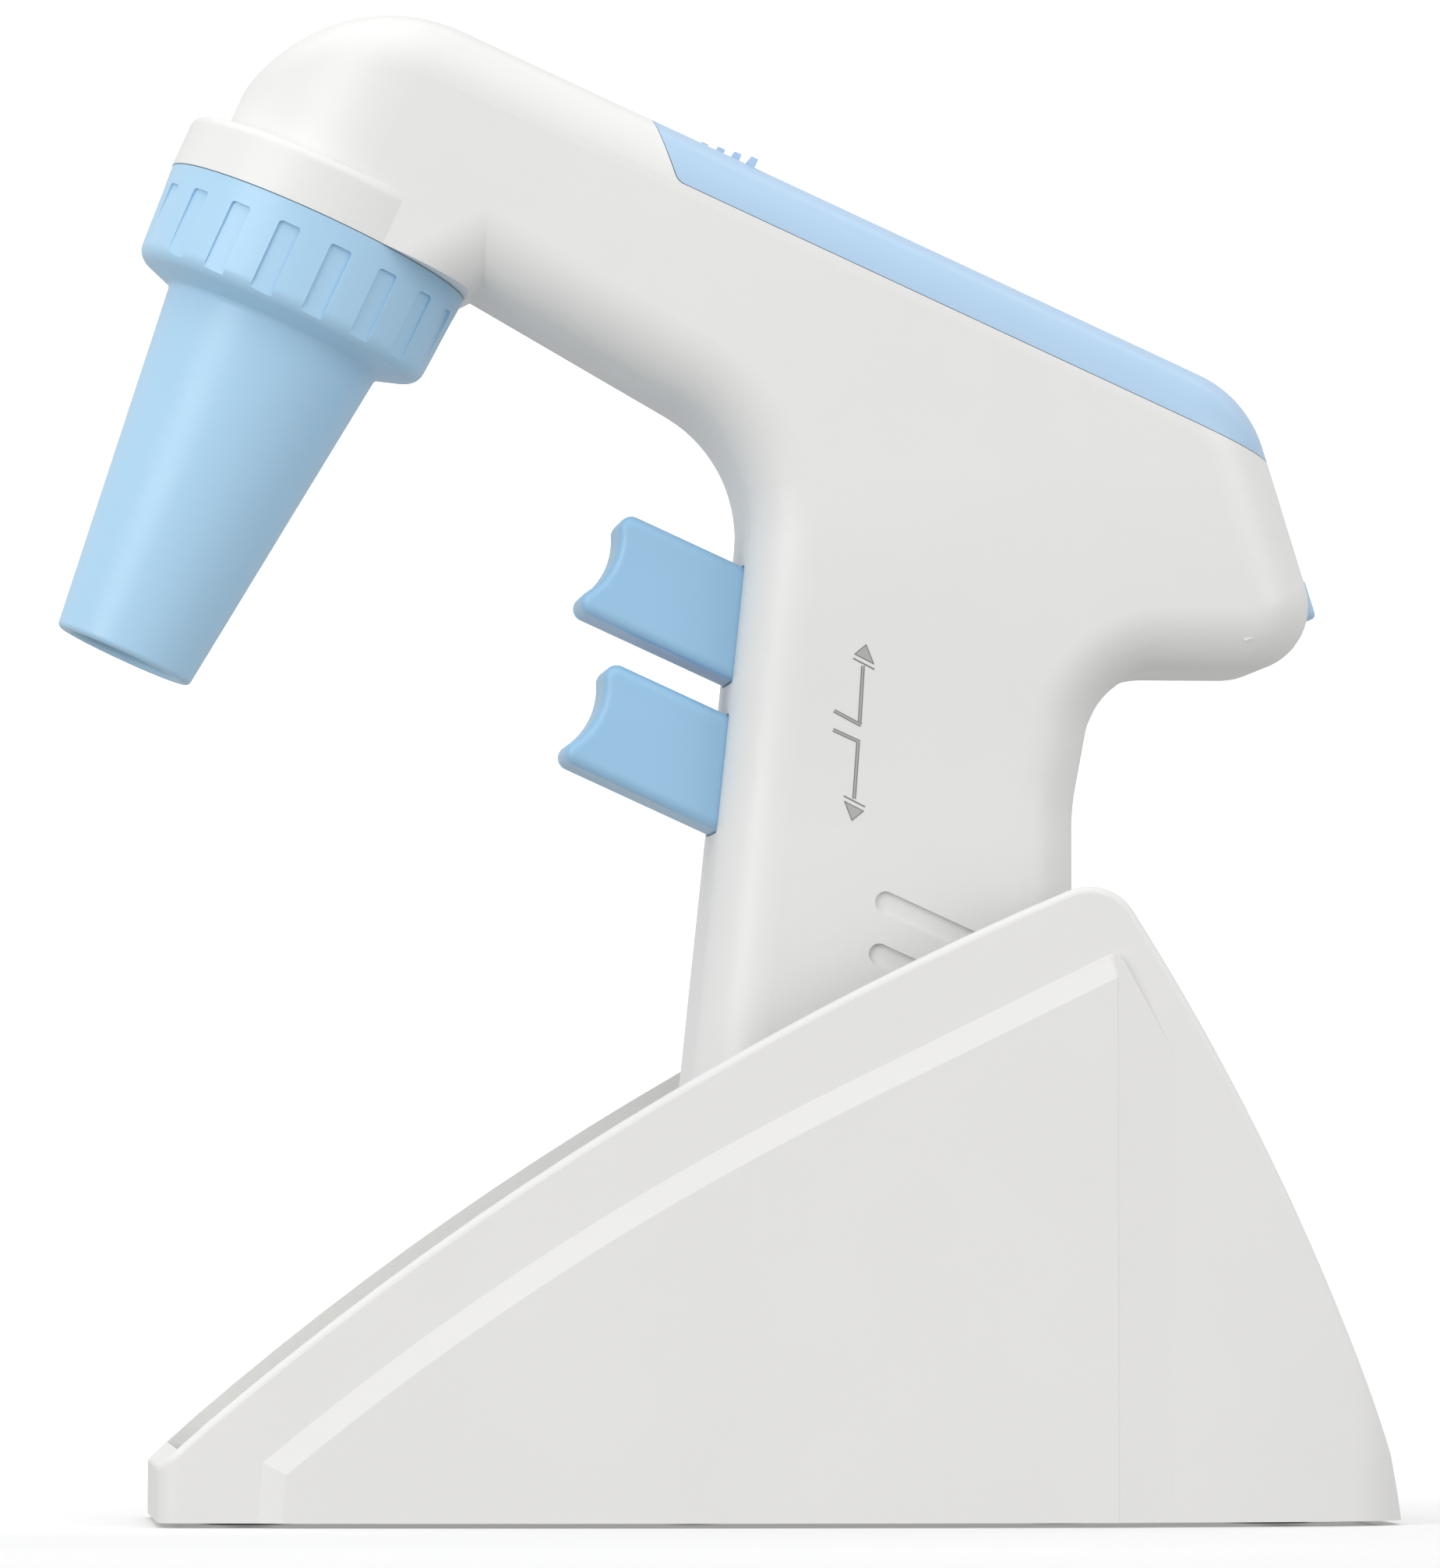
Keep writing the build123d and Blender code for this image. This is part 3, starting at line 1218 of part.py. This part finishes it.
with BuildPart() as stand_feet:
    with BuildSketch(level(0)):
        with Locations(*foot_points):
            Circle(FOOT_R)
    extrude(amount=PLATE_UNDER + FOOT_SINK)
    fillet(stand_feet.edges().filter_by(lambda e: e.center().Z < 0.01), 0.5)
stand_feet.part.label = "stand_feet"
export_step(stand_feet.part, "parts/stand_feet.step")

with BuildPart() as stand_screws:
    with BuildSketch(level(PLATE_UNDER + 0.1)):
        with Locations(*base_screw_points, *cradle_screw_points):
            Circle(STAND_SCREW_HEAD_R)
    extrude(amount=STAND_SCREW_HEAD_H)
    with BuildSketch(level(PLATE_UNDER + 1)):
        with Locations(*base_screw_points, *cradle_screw_points):
            Circle(STAND_SCREW_R)
    extrude(amount=STAND_SCREW_LONG)
    with BuildSketch(level(PLATE_UNDER)):
        with Locations(*base_screw_points, *cradle_screw_points):
            Rectangle(SLOT_LONG, SLOT_WIDE)
            Rectangle(SLOT_WIDE, SLOT_LONG)
    extrude(amount=SLOT_DEEP, mode=Mode.SUBTRACT)
stand_screws.part.label = "stand_screws"
export_step(stand_screws.part, "parts/stand_screws.step")

# socket inside the stand that the handle drops into
with BuildPart() as stand_cradle:
    with BuildSketch(level(PLATE_FLOOR)):
        with Locations(((CRADLE_FRONT + CRADLE_REAR) / 2, 0)):
            RectangleRounded(
                CRADLE_REAR - CRADLE_FRONT + 2 * CRADLE_WALL,
                2 * (GRIP_HALF + CRADLE_GAP + CRADLE_WALL),
                3,
            )
    extrude(amount=CRADLE_TOP - PLATE_FLOOR)
    fillet(stand_cradle.faces().sort_by(Axis.Z)[-1].edges(), 0.8)
    with BuildSketch(level(GRIP_BOTTOM)):
        with Locations(((CRADLE_FRONT + CRADLE_REAR) / 2, 0)):
            Rectangle(CRADLE_REAR - CRADLE_FRONT, 2 * (GRIP_HALF + CRADLE_GAP))
    extrude(amount=PAST, mode=Mode.SUBTRACT)
    with BuildSketch(level(PLATE_FLOOR)):
        with Locations(((CRADLE_FRONT + CRADLE_REAR) / 2, 0)):
            Rectangle(CRADLE_REAR - CRADLE_FRONT, 2 * (GRIP_HALF + CRADLE_GAP))
    extrude(amount=GRIP_BOTTOM - CRADLE_FLOOR - PLATE_FLOOR, mode=Mode.SUBTRACT)
    with BuildSketch(level(PLATE_FLOOR)):
        with Locations(*cradle_screw_points):
            Circle(CRADLE_BOSS_R)
    extrude(amount=CRADLE_BOSS_TALL)
    with BuildSketch(level(PLATE_FLOOR)):
        with Locations(*cradle_screw_points):
            Circle(STAND_SCREW_R + THREAD_FIT)
    extrude(amount=PILOT_DEEP, mode=Mode.SUBTRACT)
stand_cradle.part.label = "stand_cradle"
export_step(stand_cradle.part, "parts/stand_cradle.step")
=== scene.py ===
import json
import math

import bmesh
import bpy
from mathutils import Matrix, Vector
from mathutils.bvhtree import BVHTree


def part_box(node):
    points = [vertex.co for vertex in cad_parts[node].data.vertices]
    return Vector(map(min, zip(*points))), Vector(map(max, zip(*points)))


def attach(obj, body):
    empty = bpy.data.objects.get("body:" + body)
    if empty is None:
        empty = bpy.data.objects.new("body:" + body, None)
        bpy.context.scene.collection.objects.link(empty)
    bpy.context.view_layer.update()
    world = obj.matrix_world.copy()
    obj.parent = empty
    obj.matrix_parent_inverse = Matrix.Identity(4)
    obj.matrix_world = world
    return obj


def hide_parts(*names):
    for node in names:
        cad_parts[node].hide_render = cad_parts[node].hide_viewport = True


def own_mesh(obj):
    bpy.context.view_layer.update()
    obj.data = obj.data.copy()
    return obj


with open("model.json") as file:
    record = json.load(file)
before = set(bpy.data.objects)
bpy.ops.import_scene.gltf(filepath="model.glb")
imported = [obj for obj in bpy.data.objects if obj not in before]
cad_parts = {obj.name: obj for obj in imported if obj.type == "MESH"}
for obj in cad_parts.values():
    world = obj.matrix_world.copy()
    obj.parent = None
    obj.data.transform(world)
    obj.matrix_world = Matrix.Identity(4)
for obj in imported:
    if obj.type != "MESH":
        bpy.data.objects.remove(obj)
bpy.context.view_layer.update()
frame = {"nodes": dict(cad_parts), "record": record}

MM = 0.001


def new_object(name, data):
    """A new object in the scene."""
    thing = bpy.data.objects.new(name, data)
    bpy.context.scene.collection.objects.link(thing)
    return thing


def new_mesh(name, build):
    """A mesh made from a finished bmesh, which is then freed."""
    mesh = bpy.data.meshes.new(name)
    build.to_mesh(mesh)
    build.free()
    return mesh


def shade_smooth(mesh):
    mesh.polygons.foreach_set("use_smooth", [True] * len(mesh.polygons))


def aim(thing, direction):
    """Turns a camera or a light to look along a direction."""
    thing.rotation_mode = "QUATERNION"
    thing.rotation_quaternion = direction.to_track_quat("-Z", "Y")


def node_material(name):
    """A new node material, its node tree and its Principled shader."""
    material = bpy.data.materials.new(name)
    material.use_nodes = True
    return material, material.node_tree, material.node_tree.nodes["Principled BSDF"]


def add_node(tree, kind, inputs=None, **settings):
    """Adds a node, sets its properties, and sets or links its inputs."""
    node = tree.nodes.new(kind)
    for key, value in settings.items():
        setattr(node, key, value)
    for key, value in (inputs or {}).items():
        if isinstance(value, bpy.types.NodeSocket):
            tree.links.new(value, node.inputs[key])
        else:
            node.inputs[key].default_value = value
    return node


def scaled(colour, factor):
    """A colour made lighter or darker, with full alpha."""
    return tuple(min(1.0, c * factor) for c in colour[:3]) + (1.0,)


# ---------------------------------------------------------------- camera
CAMERA_AT = Vector((-112.0, -1177.0, 37.5)) * MM
CAMERA_TO = Vector((-5.0, 0.0, 94.3)) * MM
FRAME_TALL = 201.2 * MM      # height of what the camera sees, at the distance of the object
SENSOR = 36.0                # millimetres, as Blender gives a lens
CLIP_NEAR, CLIP_FAR = 0.05, 50

camera_data = bpy.data.cameras.new("camera")
camera = new_object("camera", camera_data)
camera.location = CAMERA_AT
sight = CAMERA_TO - CAMERA_AT
aim(camera, sight)
camera_data.sensor_width = SENSOR
camera_data.lens = SENSOR * sight.length / FRAME_TALL
camera_data.clip_start, camera_data.clip_end = CLIP_NEAR, CLIP_FAR
bpy.context.scene.camera = camera
bpy.context.scene.view_settings.view_transform = "Standard"

# ---------------------------------------------------------------- floor
# a pale floor that curves up behind the object, in metres
FLOOR_HALF, FLOOR_FRONT, FLOOR_BACK = 3.0, 3.5, 2.0
FLOOR_CURVE, FLOOR_RISE = 0.8, 3.0
CURVE_STEPS = 12

sweep_line = [(-FLOOR_FRONT, 0.0), (FLOOR_BACK - FLOOR_CURVE, 0.0)]
for step in range(1, CURVE_STEPS + 1):
    turn = math.pi / 2 * step / CURVE_STEPS
    sweep_y = FLOOR_BACK - FLOOR_CURVE + FLOOR_CURVE * math.sin(turn)
    sweep_line.append((sweep_y, FLOOR_CURVE * (1 - math.cos(turn))))
sweep_line.append((FLOOR_BACK, FLOOR_RISE))
floor_build = bmesh.new()
rows = [
    [floor_build.verts.new((x, y, z)) for x in (-FLOOR_HALF, FLOOR_HALF)] for y, z in sweep_line
]
for near, far in zip(rows, rows[1:]):
    floor_build.faces.new((near[0], near[1], far[1], far[0]))
floor_mesh = new_mesh("floor", floor_build)
shade_smooth(floor_mesh)
floor = new_object("floor", floor_mesh)
floor_material, floor_tree, floor_shader = node_material("floor_pale")
floor_noise = add_node(floor_tree, "ShaderNodeTexNoise", {"Scale": 3.0, "Detail": 2.0})
floor_tone = add_node(floor_tree, "ShaderNodeMapRange", {
    "Value": floor_noise.outputs["Fac"], "To Min": 0.86, "To Max": 0.9,
})
floor_tree.links.new(floor_tone.outputs["Result"], floor_shader.inputs["Base Color"])
floor_shader.inputs["Roughness"].default_value = 0.7
floor_mesh.materials.append(floor_material)
# the object is lit by the lamps and the sky, not by light thrown back from the floor
floor.visible_diffuse = False
floor.visible_glossy = False

# ---------------------------------------------------------------- light
# a soft sky: bright above and to the sides, dimmer below
SKY_BELOW, SKY_ABOVE = 0.50, 0.72
world = bpy.data.worlds.new("studio")
world.use_nodes = True
sky = world.node_tree
direction = add_node(sky, "ShaderNodeTexCoord").outputs["Generated"]
height = add_node(sky, "ShaderNodeSeparateXYZ", {"Vector": direction}).outputs["Z"]
strength = add_node(sky, "ShaderNodeMapRange", {
    "Value": height, "From Min": -0.6, "From Max": 0.4,
    "To Min": SKY_BELOW, "To Max": SKY_ABOVE,
}, interpolation_type="SMOOTHSTEP")
sky.links.new(strength.outputs["Result"], sky.nodes["Background"].inputs["Strength"])
sky.nodes["Background"].inputs["Color"].default_value = (1.0, 1.0, 1.0, 1.0)
bpy.context.scene.world = world

OBJECT_MIDDLE = (0, 0, 0.1)
SOFTBOXES = (
    # name, place, what it points at, size, power
    ("overhead", (-0.15, -0.35, 1.3), OBJECT_MIDDLE, (1.4, 1.2), 4.8),
    ("left_front", (-1.2, -1.0, 0.6), OBJECT_MIDDLE, (0.9, 1.2), 8.6),
    ("right_front", (1.1, -1.2, 0.5), OBJECT_MIDDLE, (0.9, 1.2), 5.6),
    ("backdrop", (0.0, 0.5, 1.2), (0, 2.0, 0.3), (2.4, 0.8), 26.0),
)
for name, at, to, size, power in SOFTBOXES:
    light = bpy.data.lights.new(name, "AREA")
    light.shape = "RECTANGLE"
    light.size, light.size_y = size
    light.energy = power
    lamp = new_object(name, light)
    lamp.location = at
    aim(lamp, Vector(to) - Vector(at))

# ---------------------------------------------------------------- materials
EDGE_RADIUS = 0.35 * MM
EDGE_START, EDGE_FULL = 0.97, 0.80   # cosines between a face and its rounded normal
EDGE_LIGHTER = 1.35
GLOSS_LESS, GLOSS_MORE = 0.05, 0.06
PLASTIC_RELIEF = 0.02 * MM
COAT_ROUGH = 0.2
SCATTER_RADIUS = (0.9, 0.8, 0.7)
SCATTER_SCALE = 1.2 * MM


def edge_mask(tree):
    """1 on sharp edges and 0 elsewhere, from how far a rounded normal leans away."""
    rounded = add_node(tree, "ShaderNodeBevel", {"Radius": EDGE_RADIUS}, samples=4)
    flat = add_node(tree, "ShaderNodeNewGeometry")
    lean = add_node(tree, "ShaderNodeVectorMath", operation="DOT_PRODUCT")
    tree.links.new(rounded.outputs["Normal"], lean.inputs[0])
    tree.links.new(flat.outputs["Normal"], lean.inputs[1])
    mask = add_node(tree, "ShaderNodeMapRange", {
        "Value": lean.outputs["Value"], "From Min": EDGE_START, "From Max": EDGE_FULL,
        "To Min": 0.0, "To Max": 1.0,
    })
    return mask.outputs["Result"]


def plastic(name, colour, rough=0.38, grain=0.35, grain_mm=0.35, variation=0.03, edge=0.06,
            coat=0.0, scatter=0.0):
    """Moulded plastic: fine spark-eroded grain, slight cloudiness, and edges rubbed smooth."""
    material, tree, shader = node_material(name)
    place = add_node(tree, "ShaderNodeTexCoord").outputs["Object"]
    cloud = add_node(tree, "ShaderNodeTexNoise", {
        "Vector": place, "Scale": 28.0, "Detail": 3.0, "Roughness": 0.55,
    })
    tint = add_node(tree, "ShaderNodeMix", {
        "Factor": cloud.outputs["Fac"],
    }, data_type="RGBA")
    tint.inputs["A"].default_value = scaled(colour, 1 - variation)
    tint.inputs["B"].default_value = scaled(colour, 1 + variation)
    worn = edge_mask(tree)
    wear = add_node(tree, "ShaderNodeMath", {0: worn, 1: edge}, operation="MULTIPLY")
    paler = add_node(tree, "ShaderNodeMix", {
        "Factor": wear.outputs[0], "A": tint.outputs["Result"],
        "B": scaled(colour, EDGE_LIGHTER),
    }, data_type="RGBA")
    tree.links.new(paler.outputs["Result"], shader.inputs["Base Color"])
    fine = add_node(tree, "ShaderNodeTexNoise", {
        "Vector": place, "Scale": 1 / (grain_mm * MM), "Detail": 2.0, "Roughness": 0.6,
    })
    smear = add_node(tree, "ShaderNodeTexNoise", {
        "Vector": place, "Scale": 90.0, "Detail": 4.0, "Roughness": 0.7,
    })
    gloss = add_node(tree, "ShaderNodeMapRange", {
        "Value": smear.outputs["Fac"], "From Min": 0.3, "From Max": 0.7,
        "To Min": rough - GLOSS_LESS, "To Max": rough + GLOSS_MORE,
    })
    tree.links.new(gloss.outputs["Result"], shader.inputs["Roughness"])
    relief = add_node(tree, "ShaderNodeBump", {
        "Strength": grain, "Distance": PLASTIC_RELIEF, "Height": fine.outputs["Fac"],
    })
    tree.links.new(relief.outputs["Normal"], shader.inputs["Normal"])
    shader.inputs["Coat Weight"].default_value = coat
    shader.inputs["Coat Roughness"].default_value = COAT_ROUGH
    shader.inputs["Subsurface Weight"].default_value = scatter
    shader.inputs["Subsurface Radius"].default_value = SCATTER_RADIUS
    shader.inputs["Subsurface Scale"].default_value = SCATTER_SCALE
    return material


LINES_PER_MM = 9.0
LINE_STRETCH = {"X": (1.0, 0.02, 1.0), "Z": (1.0, 1.0, 0.02)}
METAL_DARKER, METAL_LIGHTER = 0.82, 1.08
METAL_GLOSS_LESS, METAL_GLOSS_MORE = 0.1, 0.14
METAL_RELIEF = 0.01 * MM


def metal(name, colour, rough=0.28, axis="X"):
    """Drawn or turned metal with fine lines and a few dull patches."""
    material, tree, shader = node_material(name)
    place = add_node(tree, "ShaderNodeTexCoord").outputs["Object"]
    drawn = add_node(tree, "ShaderNodeMapping", {"Vector": place, "Scale": LINE_STRETCH[axis]})
    lines = add_node(tree, "ShaderNodeTexNoise", {
        "Vector": drawn.outputs["Vector"], "Scale": LINES_PER_MM / MM, "Detail": 3.0,
    })
    patches = add_node(tree, "ShaderNodeTexNoise", {"Vector": place, "Scale": 300.0, "Detail": 4.0})
    tint = add_node(tree, "ShaderNodeMix", {"Factor": patches.outputs["Fac"]}, data_type="RGBA")
    tint.inputs["A"].default_value = scaled(colour, METAL_DARKER)
    tint.inputs["B"].default_value = scaled(colour, METAL_LIGHTER)
    tree.links.new(tint.outputs["Result"], shader.inputs["Base Color"])
    shader.inputs["Metallic"].default_value = 1.0
    gloss = add_node(tree, "ShaderNodeMapRange", {
        "Value": lines.outputs["Fac"],
        "To Min": rough - METAL_GLOSS_LESS, "To Max": rough + METAL_GLOSS_MORE,
    })
    tree.links.new(gloss.outputs["Result"], shader.inputs["Roughness"])
    relief = add_node(tree, "ShaderNodeBump", {
        "Strength": 0.25, "Distance": METAL_RELIEF, "Height": lines.outputs["Fac"],
    })
    tree.links.new(relief.outputs["Normal"], shader.inputs["Normal"])
    return material


BODY_WHITE, STAND_WHITE = (0.79, 0.79, 0.775), (0.79, 0.785, 0.77)
COVER_BLUE, CONE_BLUE, TRIGGER_BLUE = (0.415, 0.59, 0.78), (0.42, 0.66, 0.86), (0.32, 0.56, 0.78)
SILICONE, FILTER_WHITE = (0.80, 0.80, 0.74), (0.85, 0.85, 0.83)
DARK_GREY, NEAR_BLACK = (0.17, 0.18, 0.19), (0.02, 0.02, 0.022)
STEEL, SPRING_STEEL, MOTOR_STEEL = (0.56, 0.56, 0.57), (0.60, 0.60, 0.61), (0.62, 0.61, 0.60)
BRASS, CELL_GREEN, BOARD_GREEN = (0.72, 0.50, 0.20), (0.03, 0.20, 0.09), (0.01, 0.09, 0.035)

# one look for each material slot of the record
looks = {
    "body_white": plastic("body_white_look", BODY_WHITE, rough=0.36, grain=0.3, scatter=0.08),
    "stand_white": plastic("stand_white_look", STAND_WHITE, rough=0.5, grain=0.45, scatter=0.06),
    "cover_blue": plastic("cover_blue_look", COVER_BLUE, rough=0.32, grain=0.25),
    "cone_blue": plastic("cone_blue_look", CONE_BLUE, rough=0.34, grain=0.25, scatter=0.15),
    "trigger_blue": plastic("trigger_blue_look", TRIGGER_BLUE, rough=0.34, grain=0.2, scatter=0.1),
    "silicone": plastic("silicone_look", SILICONE, rough=0.42, grain=0.15, scatter=0.4),
    "filter_white": plastic("filter_white_look", FILTER_WHITE, rough=0.55, scatter=0.2),
    "grey_plastic": plastic("grey_plastic_look", DARK_GREY, rough=0.45),
    "dark_rubber": plastic("dark_rubber_look", NEAR_BLACK, rough=0.62, grain=0.6, grain_mm=0.5,
                           edge=0.15),
    "steel": metal("steel_look", STEEL),
    "spring_steel": metal("spring_steel_look", SPRING_STEEL, rough=0.22),
    "motor_steel": metal("motor_steel_look", MOTOR_STEEL, rough=0.24, axis="Z"),
    "brass": metal("brass_look", BRASS, rough=0.3),
    "cell_wrap": plastic("cell_wrap_look", CELL_GREEN, rough=0.3, grain=0.1, coat=0.4),
    "board_green": plastic("board_green_look", BOARD_GREEN, rough=0.35, grain=0.1, coat=0.5),
    "board_parts": plastic("board_parts_look", NEAR_BLACK, rough=0.5),
}
node_slots = {row["node"]: row["material_slot"] for row in frame["record"]["subparts"]}
for node, shape in frame["nodes"].items():
    for slot in shape.material_slots:
        slot.material = looks[node_slots[node]]

# ---------------------------------------------------------------- printed arrows
# one arrow for each trigger on the side of the handle, as X and Z in millimetres:
# foot, bend, neck, bar, head and tip
ARROWS = (
    (
        (7.9, 102.8), (11.15, 101.1), (11.56, 108.5),
        (11.65, 108.75), (11.71, 109.3), (11.95, 111.25),
    ),
    (
        (7.8, 100.4), (11.0, 98.95), (10.5, 91.7),
        (10.53, 91.35), (10.49, 90.8), (10.2, 88.85),
    ),
)
TILT = math.radians(24.5 + 2.5)      # the heads' bases lean a little more than the arm
STROKE, BAR_STROKE = 0.46, 0.17
BAR_HALF, HEAD_HALF = 1.52, 1.46
FOOT_STEPS, NECK_STEPS, BAR_STEPS = 3, 8, 3
INK_LINE = 0.12                      # width of the darker line around each shape
INK_HIGH, INK_BACK = 0.03, 0.004     # how far the ink stands out of the skin and into it
FILL_HIGH = INK_HIGH + 0.008
LINE_INK, FILL_INK = 0, 1            # the mesh's two materials
OUTSIDE_Y = -60.0                    # in front of the near side, where rays start
LEAST_SINE = 0.2                     # keeps a sharp corner from being inset too far

left_mesh = frame["nodes"]["housing_left"].data
left_skin = BVHTree.FromPolygons(
    [v.co.copy() for v in left_mesh.vertices], [tuple(p.vertices) for p in left_mesh.polygons]
)


def skin_y(x, z):
    """Y of the housing's near side, in metres, at a place given in millimetres."""
    hit = left_skin.ray_cast(Vector((x, OUTSIDE_Y, z)) * MM, Vector((0, 1, 0)))[0]
    return hit.y


def ribbon(start, end, width):
    """Corners of a straight stroke."""
    along = (Vector(end) - Vector(start)).normalized()
    side = Vector((-along.y, along.x)) * width / 2
    return [Vector(start) - side, Vector(end) - side, Vector(end) + side, Vector(start) + side]


def inset(corners, amount):
    """The same convex outline, brought inwards on every side."""
    middle = sum(corners, Vector((0, 0))) / len(corners)
    result = []
    for before, here, after in zip(corners[-1:] + corners[:-1], corners, corners[1:] + corners[:1]):
        first, second = (here - before).normalized(), (after - here).normalized()
        bisector = (second - first).normalized()
        if bisector.dot(middle - here) < 0:
            bisector.negate()
        sine = max(abs(first.x * bisector.y - first.y * bisector.x), LEAST_SINE)
        result.append(here + bisector * amount / sine)
    return result


def print_patch(build, corners, high, material_index):
    """A thin raised patch of ink that follows the housing's surface."""
    fronts, backs = [], []
    for corner in corners:
        y = skin_y(corner.x, corner.y)
        fronts.append(build.verts.new((corner.x * MM, y - high * MM, corner.y * MM)))
        backs.append(build.verts.new((corner.x * MM, y - INK_BACK * MM, corner.y * MM)))
    faces = [build.faces.new(fronts), build.faces.new(backs[::-1])]
    count = len(corners)
    for k in range(count):
        after = (k + 1) % count
        faces.append(build.faces.new((fronts[k], backs[k], backs[after], fronts[after])))
    for face in faces:
        face.material_index = material_index


def in_steps(start, end, width, steps):
    """A long stroke cut into short ones, so that it follows the surface."""
    a, b = Vector(start), Vector(end)
    for k in range(steps):
        yield ribbon(a.lerp(b, k / steps), a.lerp(b, (k + 1) / steps), width)


ink = bmesh.new()
head_side = Vector((math.cos(TILT), -math.sin(TILT)))
for foot, bend, neck, bar, head, tip in ARROWS:
    reach = (Vector(bend) - Vector(foot)).normalized() * STROKE / 2
    past_bend = tuple(Vector(bend) + reach)
    for start, end, steps in ((foot, past_bend, FOOT_STEPS), (bend, neck, NECK_STEPS)):
        for patch in in_steps(start, end, STROKE, steps):
            print_patch(ink, patch, INK_HIGH, LINE_INK)
        for patch in in_steps(start, end, STROKE - 2 * INK_LINE, steps):
            print_patch(ink, patch, FILL_HIGH, FILL_INK)
    bar_start, bar_end = Vector(bar) - head_side * BAR_HALF, Vector(bar) + head_side * BAR_HALF
    for patch in in_steps(bar_start, bar_end, BAR_STROKE, BAR_STEPS):
        print_patch(ink, patch, INK_HIGH, LINE_INK)
    base_half = head_side * HEAD_HALF
    triangle = [Vector(head) - base_half, Vector(head) + base_half, Vector(tip)]
    print_patch(ink, triangle, INK_HIGH, LINE_INK)
    print_patch(ink, inset(triangle, INK_LINE), FILL_HIGH, FILL_INK)
bmesh.ops.recalc_face_normals(ink, faces=ink.faces[:])
arrow_mesh = new_mesh("printed_arrows", ink)
arrow_mesh.materials.append(plastic("ink_line", (0.20, 0.19, 0.175), rough=0.5, variation=0.25))
arrow_mesh.materials.append(plastic("ink_fill", (0.43, 0.43, 0.415), rough=0.5, variation=0.12))
printed_arrows = new_object("printed_arrows", arrow_mesh)
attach(printed_arrows, "controller")

# ---------------------------------------------------------------- springs
SPRINGS = (
    # node, joint, turns, wire radius in millimetres
    ("trigger_upper_spring", "upper_trigger_press", 5, 0.35),
    ("trigger_lower_spring", "lower_trigger_press", 5, 0.35),
    ("latch_spring", "latch_press", 4, 0.25),
)
STEPS_PER_TURN, WIRE_SIDES = 28, 8
END_CLOSING = 0.35                   # how much smaller the pitch is at both ends

joints = {joint["name"]: joint for joint in frame["record"]["behaviour"]["joints"]}
for node, joint, turns, wire in SPRINGS:
    axis = Vector(joints[joint]["axis"]).normalized()
    corners = [v.co.copy() for v in frame["nodes"][node].data.vertices]
    low_corner, high_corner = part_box(node)
    centre = (low_corner + high_corner) / 2
    reaches = [(co - centre).dot(axis) for co in corners]
    near_end, far_end = min(reaches) + wire * MM, max(reaches) - wire * MM
    radius = max(((co - centre) - axis * (co - centre).dot(axis)).length for co in corners)
    radius -= wire * MM
    across = axis.cross(Vector((0, 1, 0))).normalized()
    beside = axis.cross(across)
    coil = bmesh.new()
    rings = []
    steps = turns * STEPS_PER_TURN
    for step in range(steps + 1):
        share = step / steps
        turn = 2 * math.pi * turns * share
        run = share - END_CLOSING * math.sin(4 * math.pi * share) / (4 * math.pi)
        outward = across * math.cos(turn) + beside * math.sin(turn)
        place = centre + axis * (near_end + (far_end - near_end) * run) + outward * radius
        ring = []
        for side in range(WIRE_SIDES):
            spin = 2 * math.pi * side / WIRE_SIDES
            offset = (outward * math.cos(spin) + axis * math.sin(spin)) * wire * MM
            ring.append(coil.verts.new(place + offset))
        rings.append(ring)
    for first, second in zip(rings, rings[1:]):
        for side in range(WIRE_SIDES):
            after = (side + 1) % WIRE_SIDES
            coil.faces.new((first[side], first[after], second[after], second[side]))
    coil.faces.new(rings[0][::-1])
    coil.faces.new(rings[-1])
    bmesh.ops.recalc_face_normals(coil, faces=coil.faces[:])
    coil_mesh = new_mesh(node + "_wire", coil)
    shade_smooth(coil_mesh)
    coil_mesh.materials.append(looks["spring_steel"])
    spring = new_object(node + "_wire", coil_mesh)
    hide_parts(node)
    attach(spring, "controller")
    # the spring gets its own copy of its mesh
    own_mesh(spring)
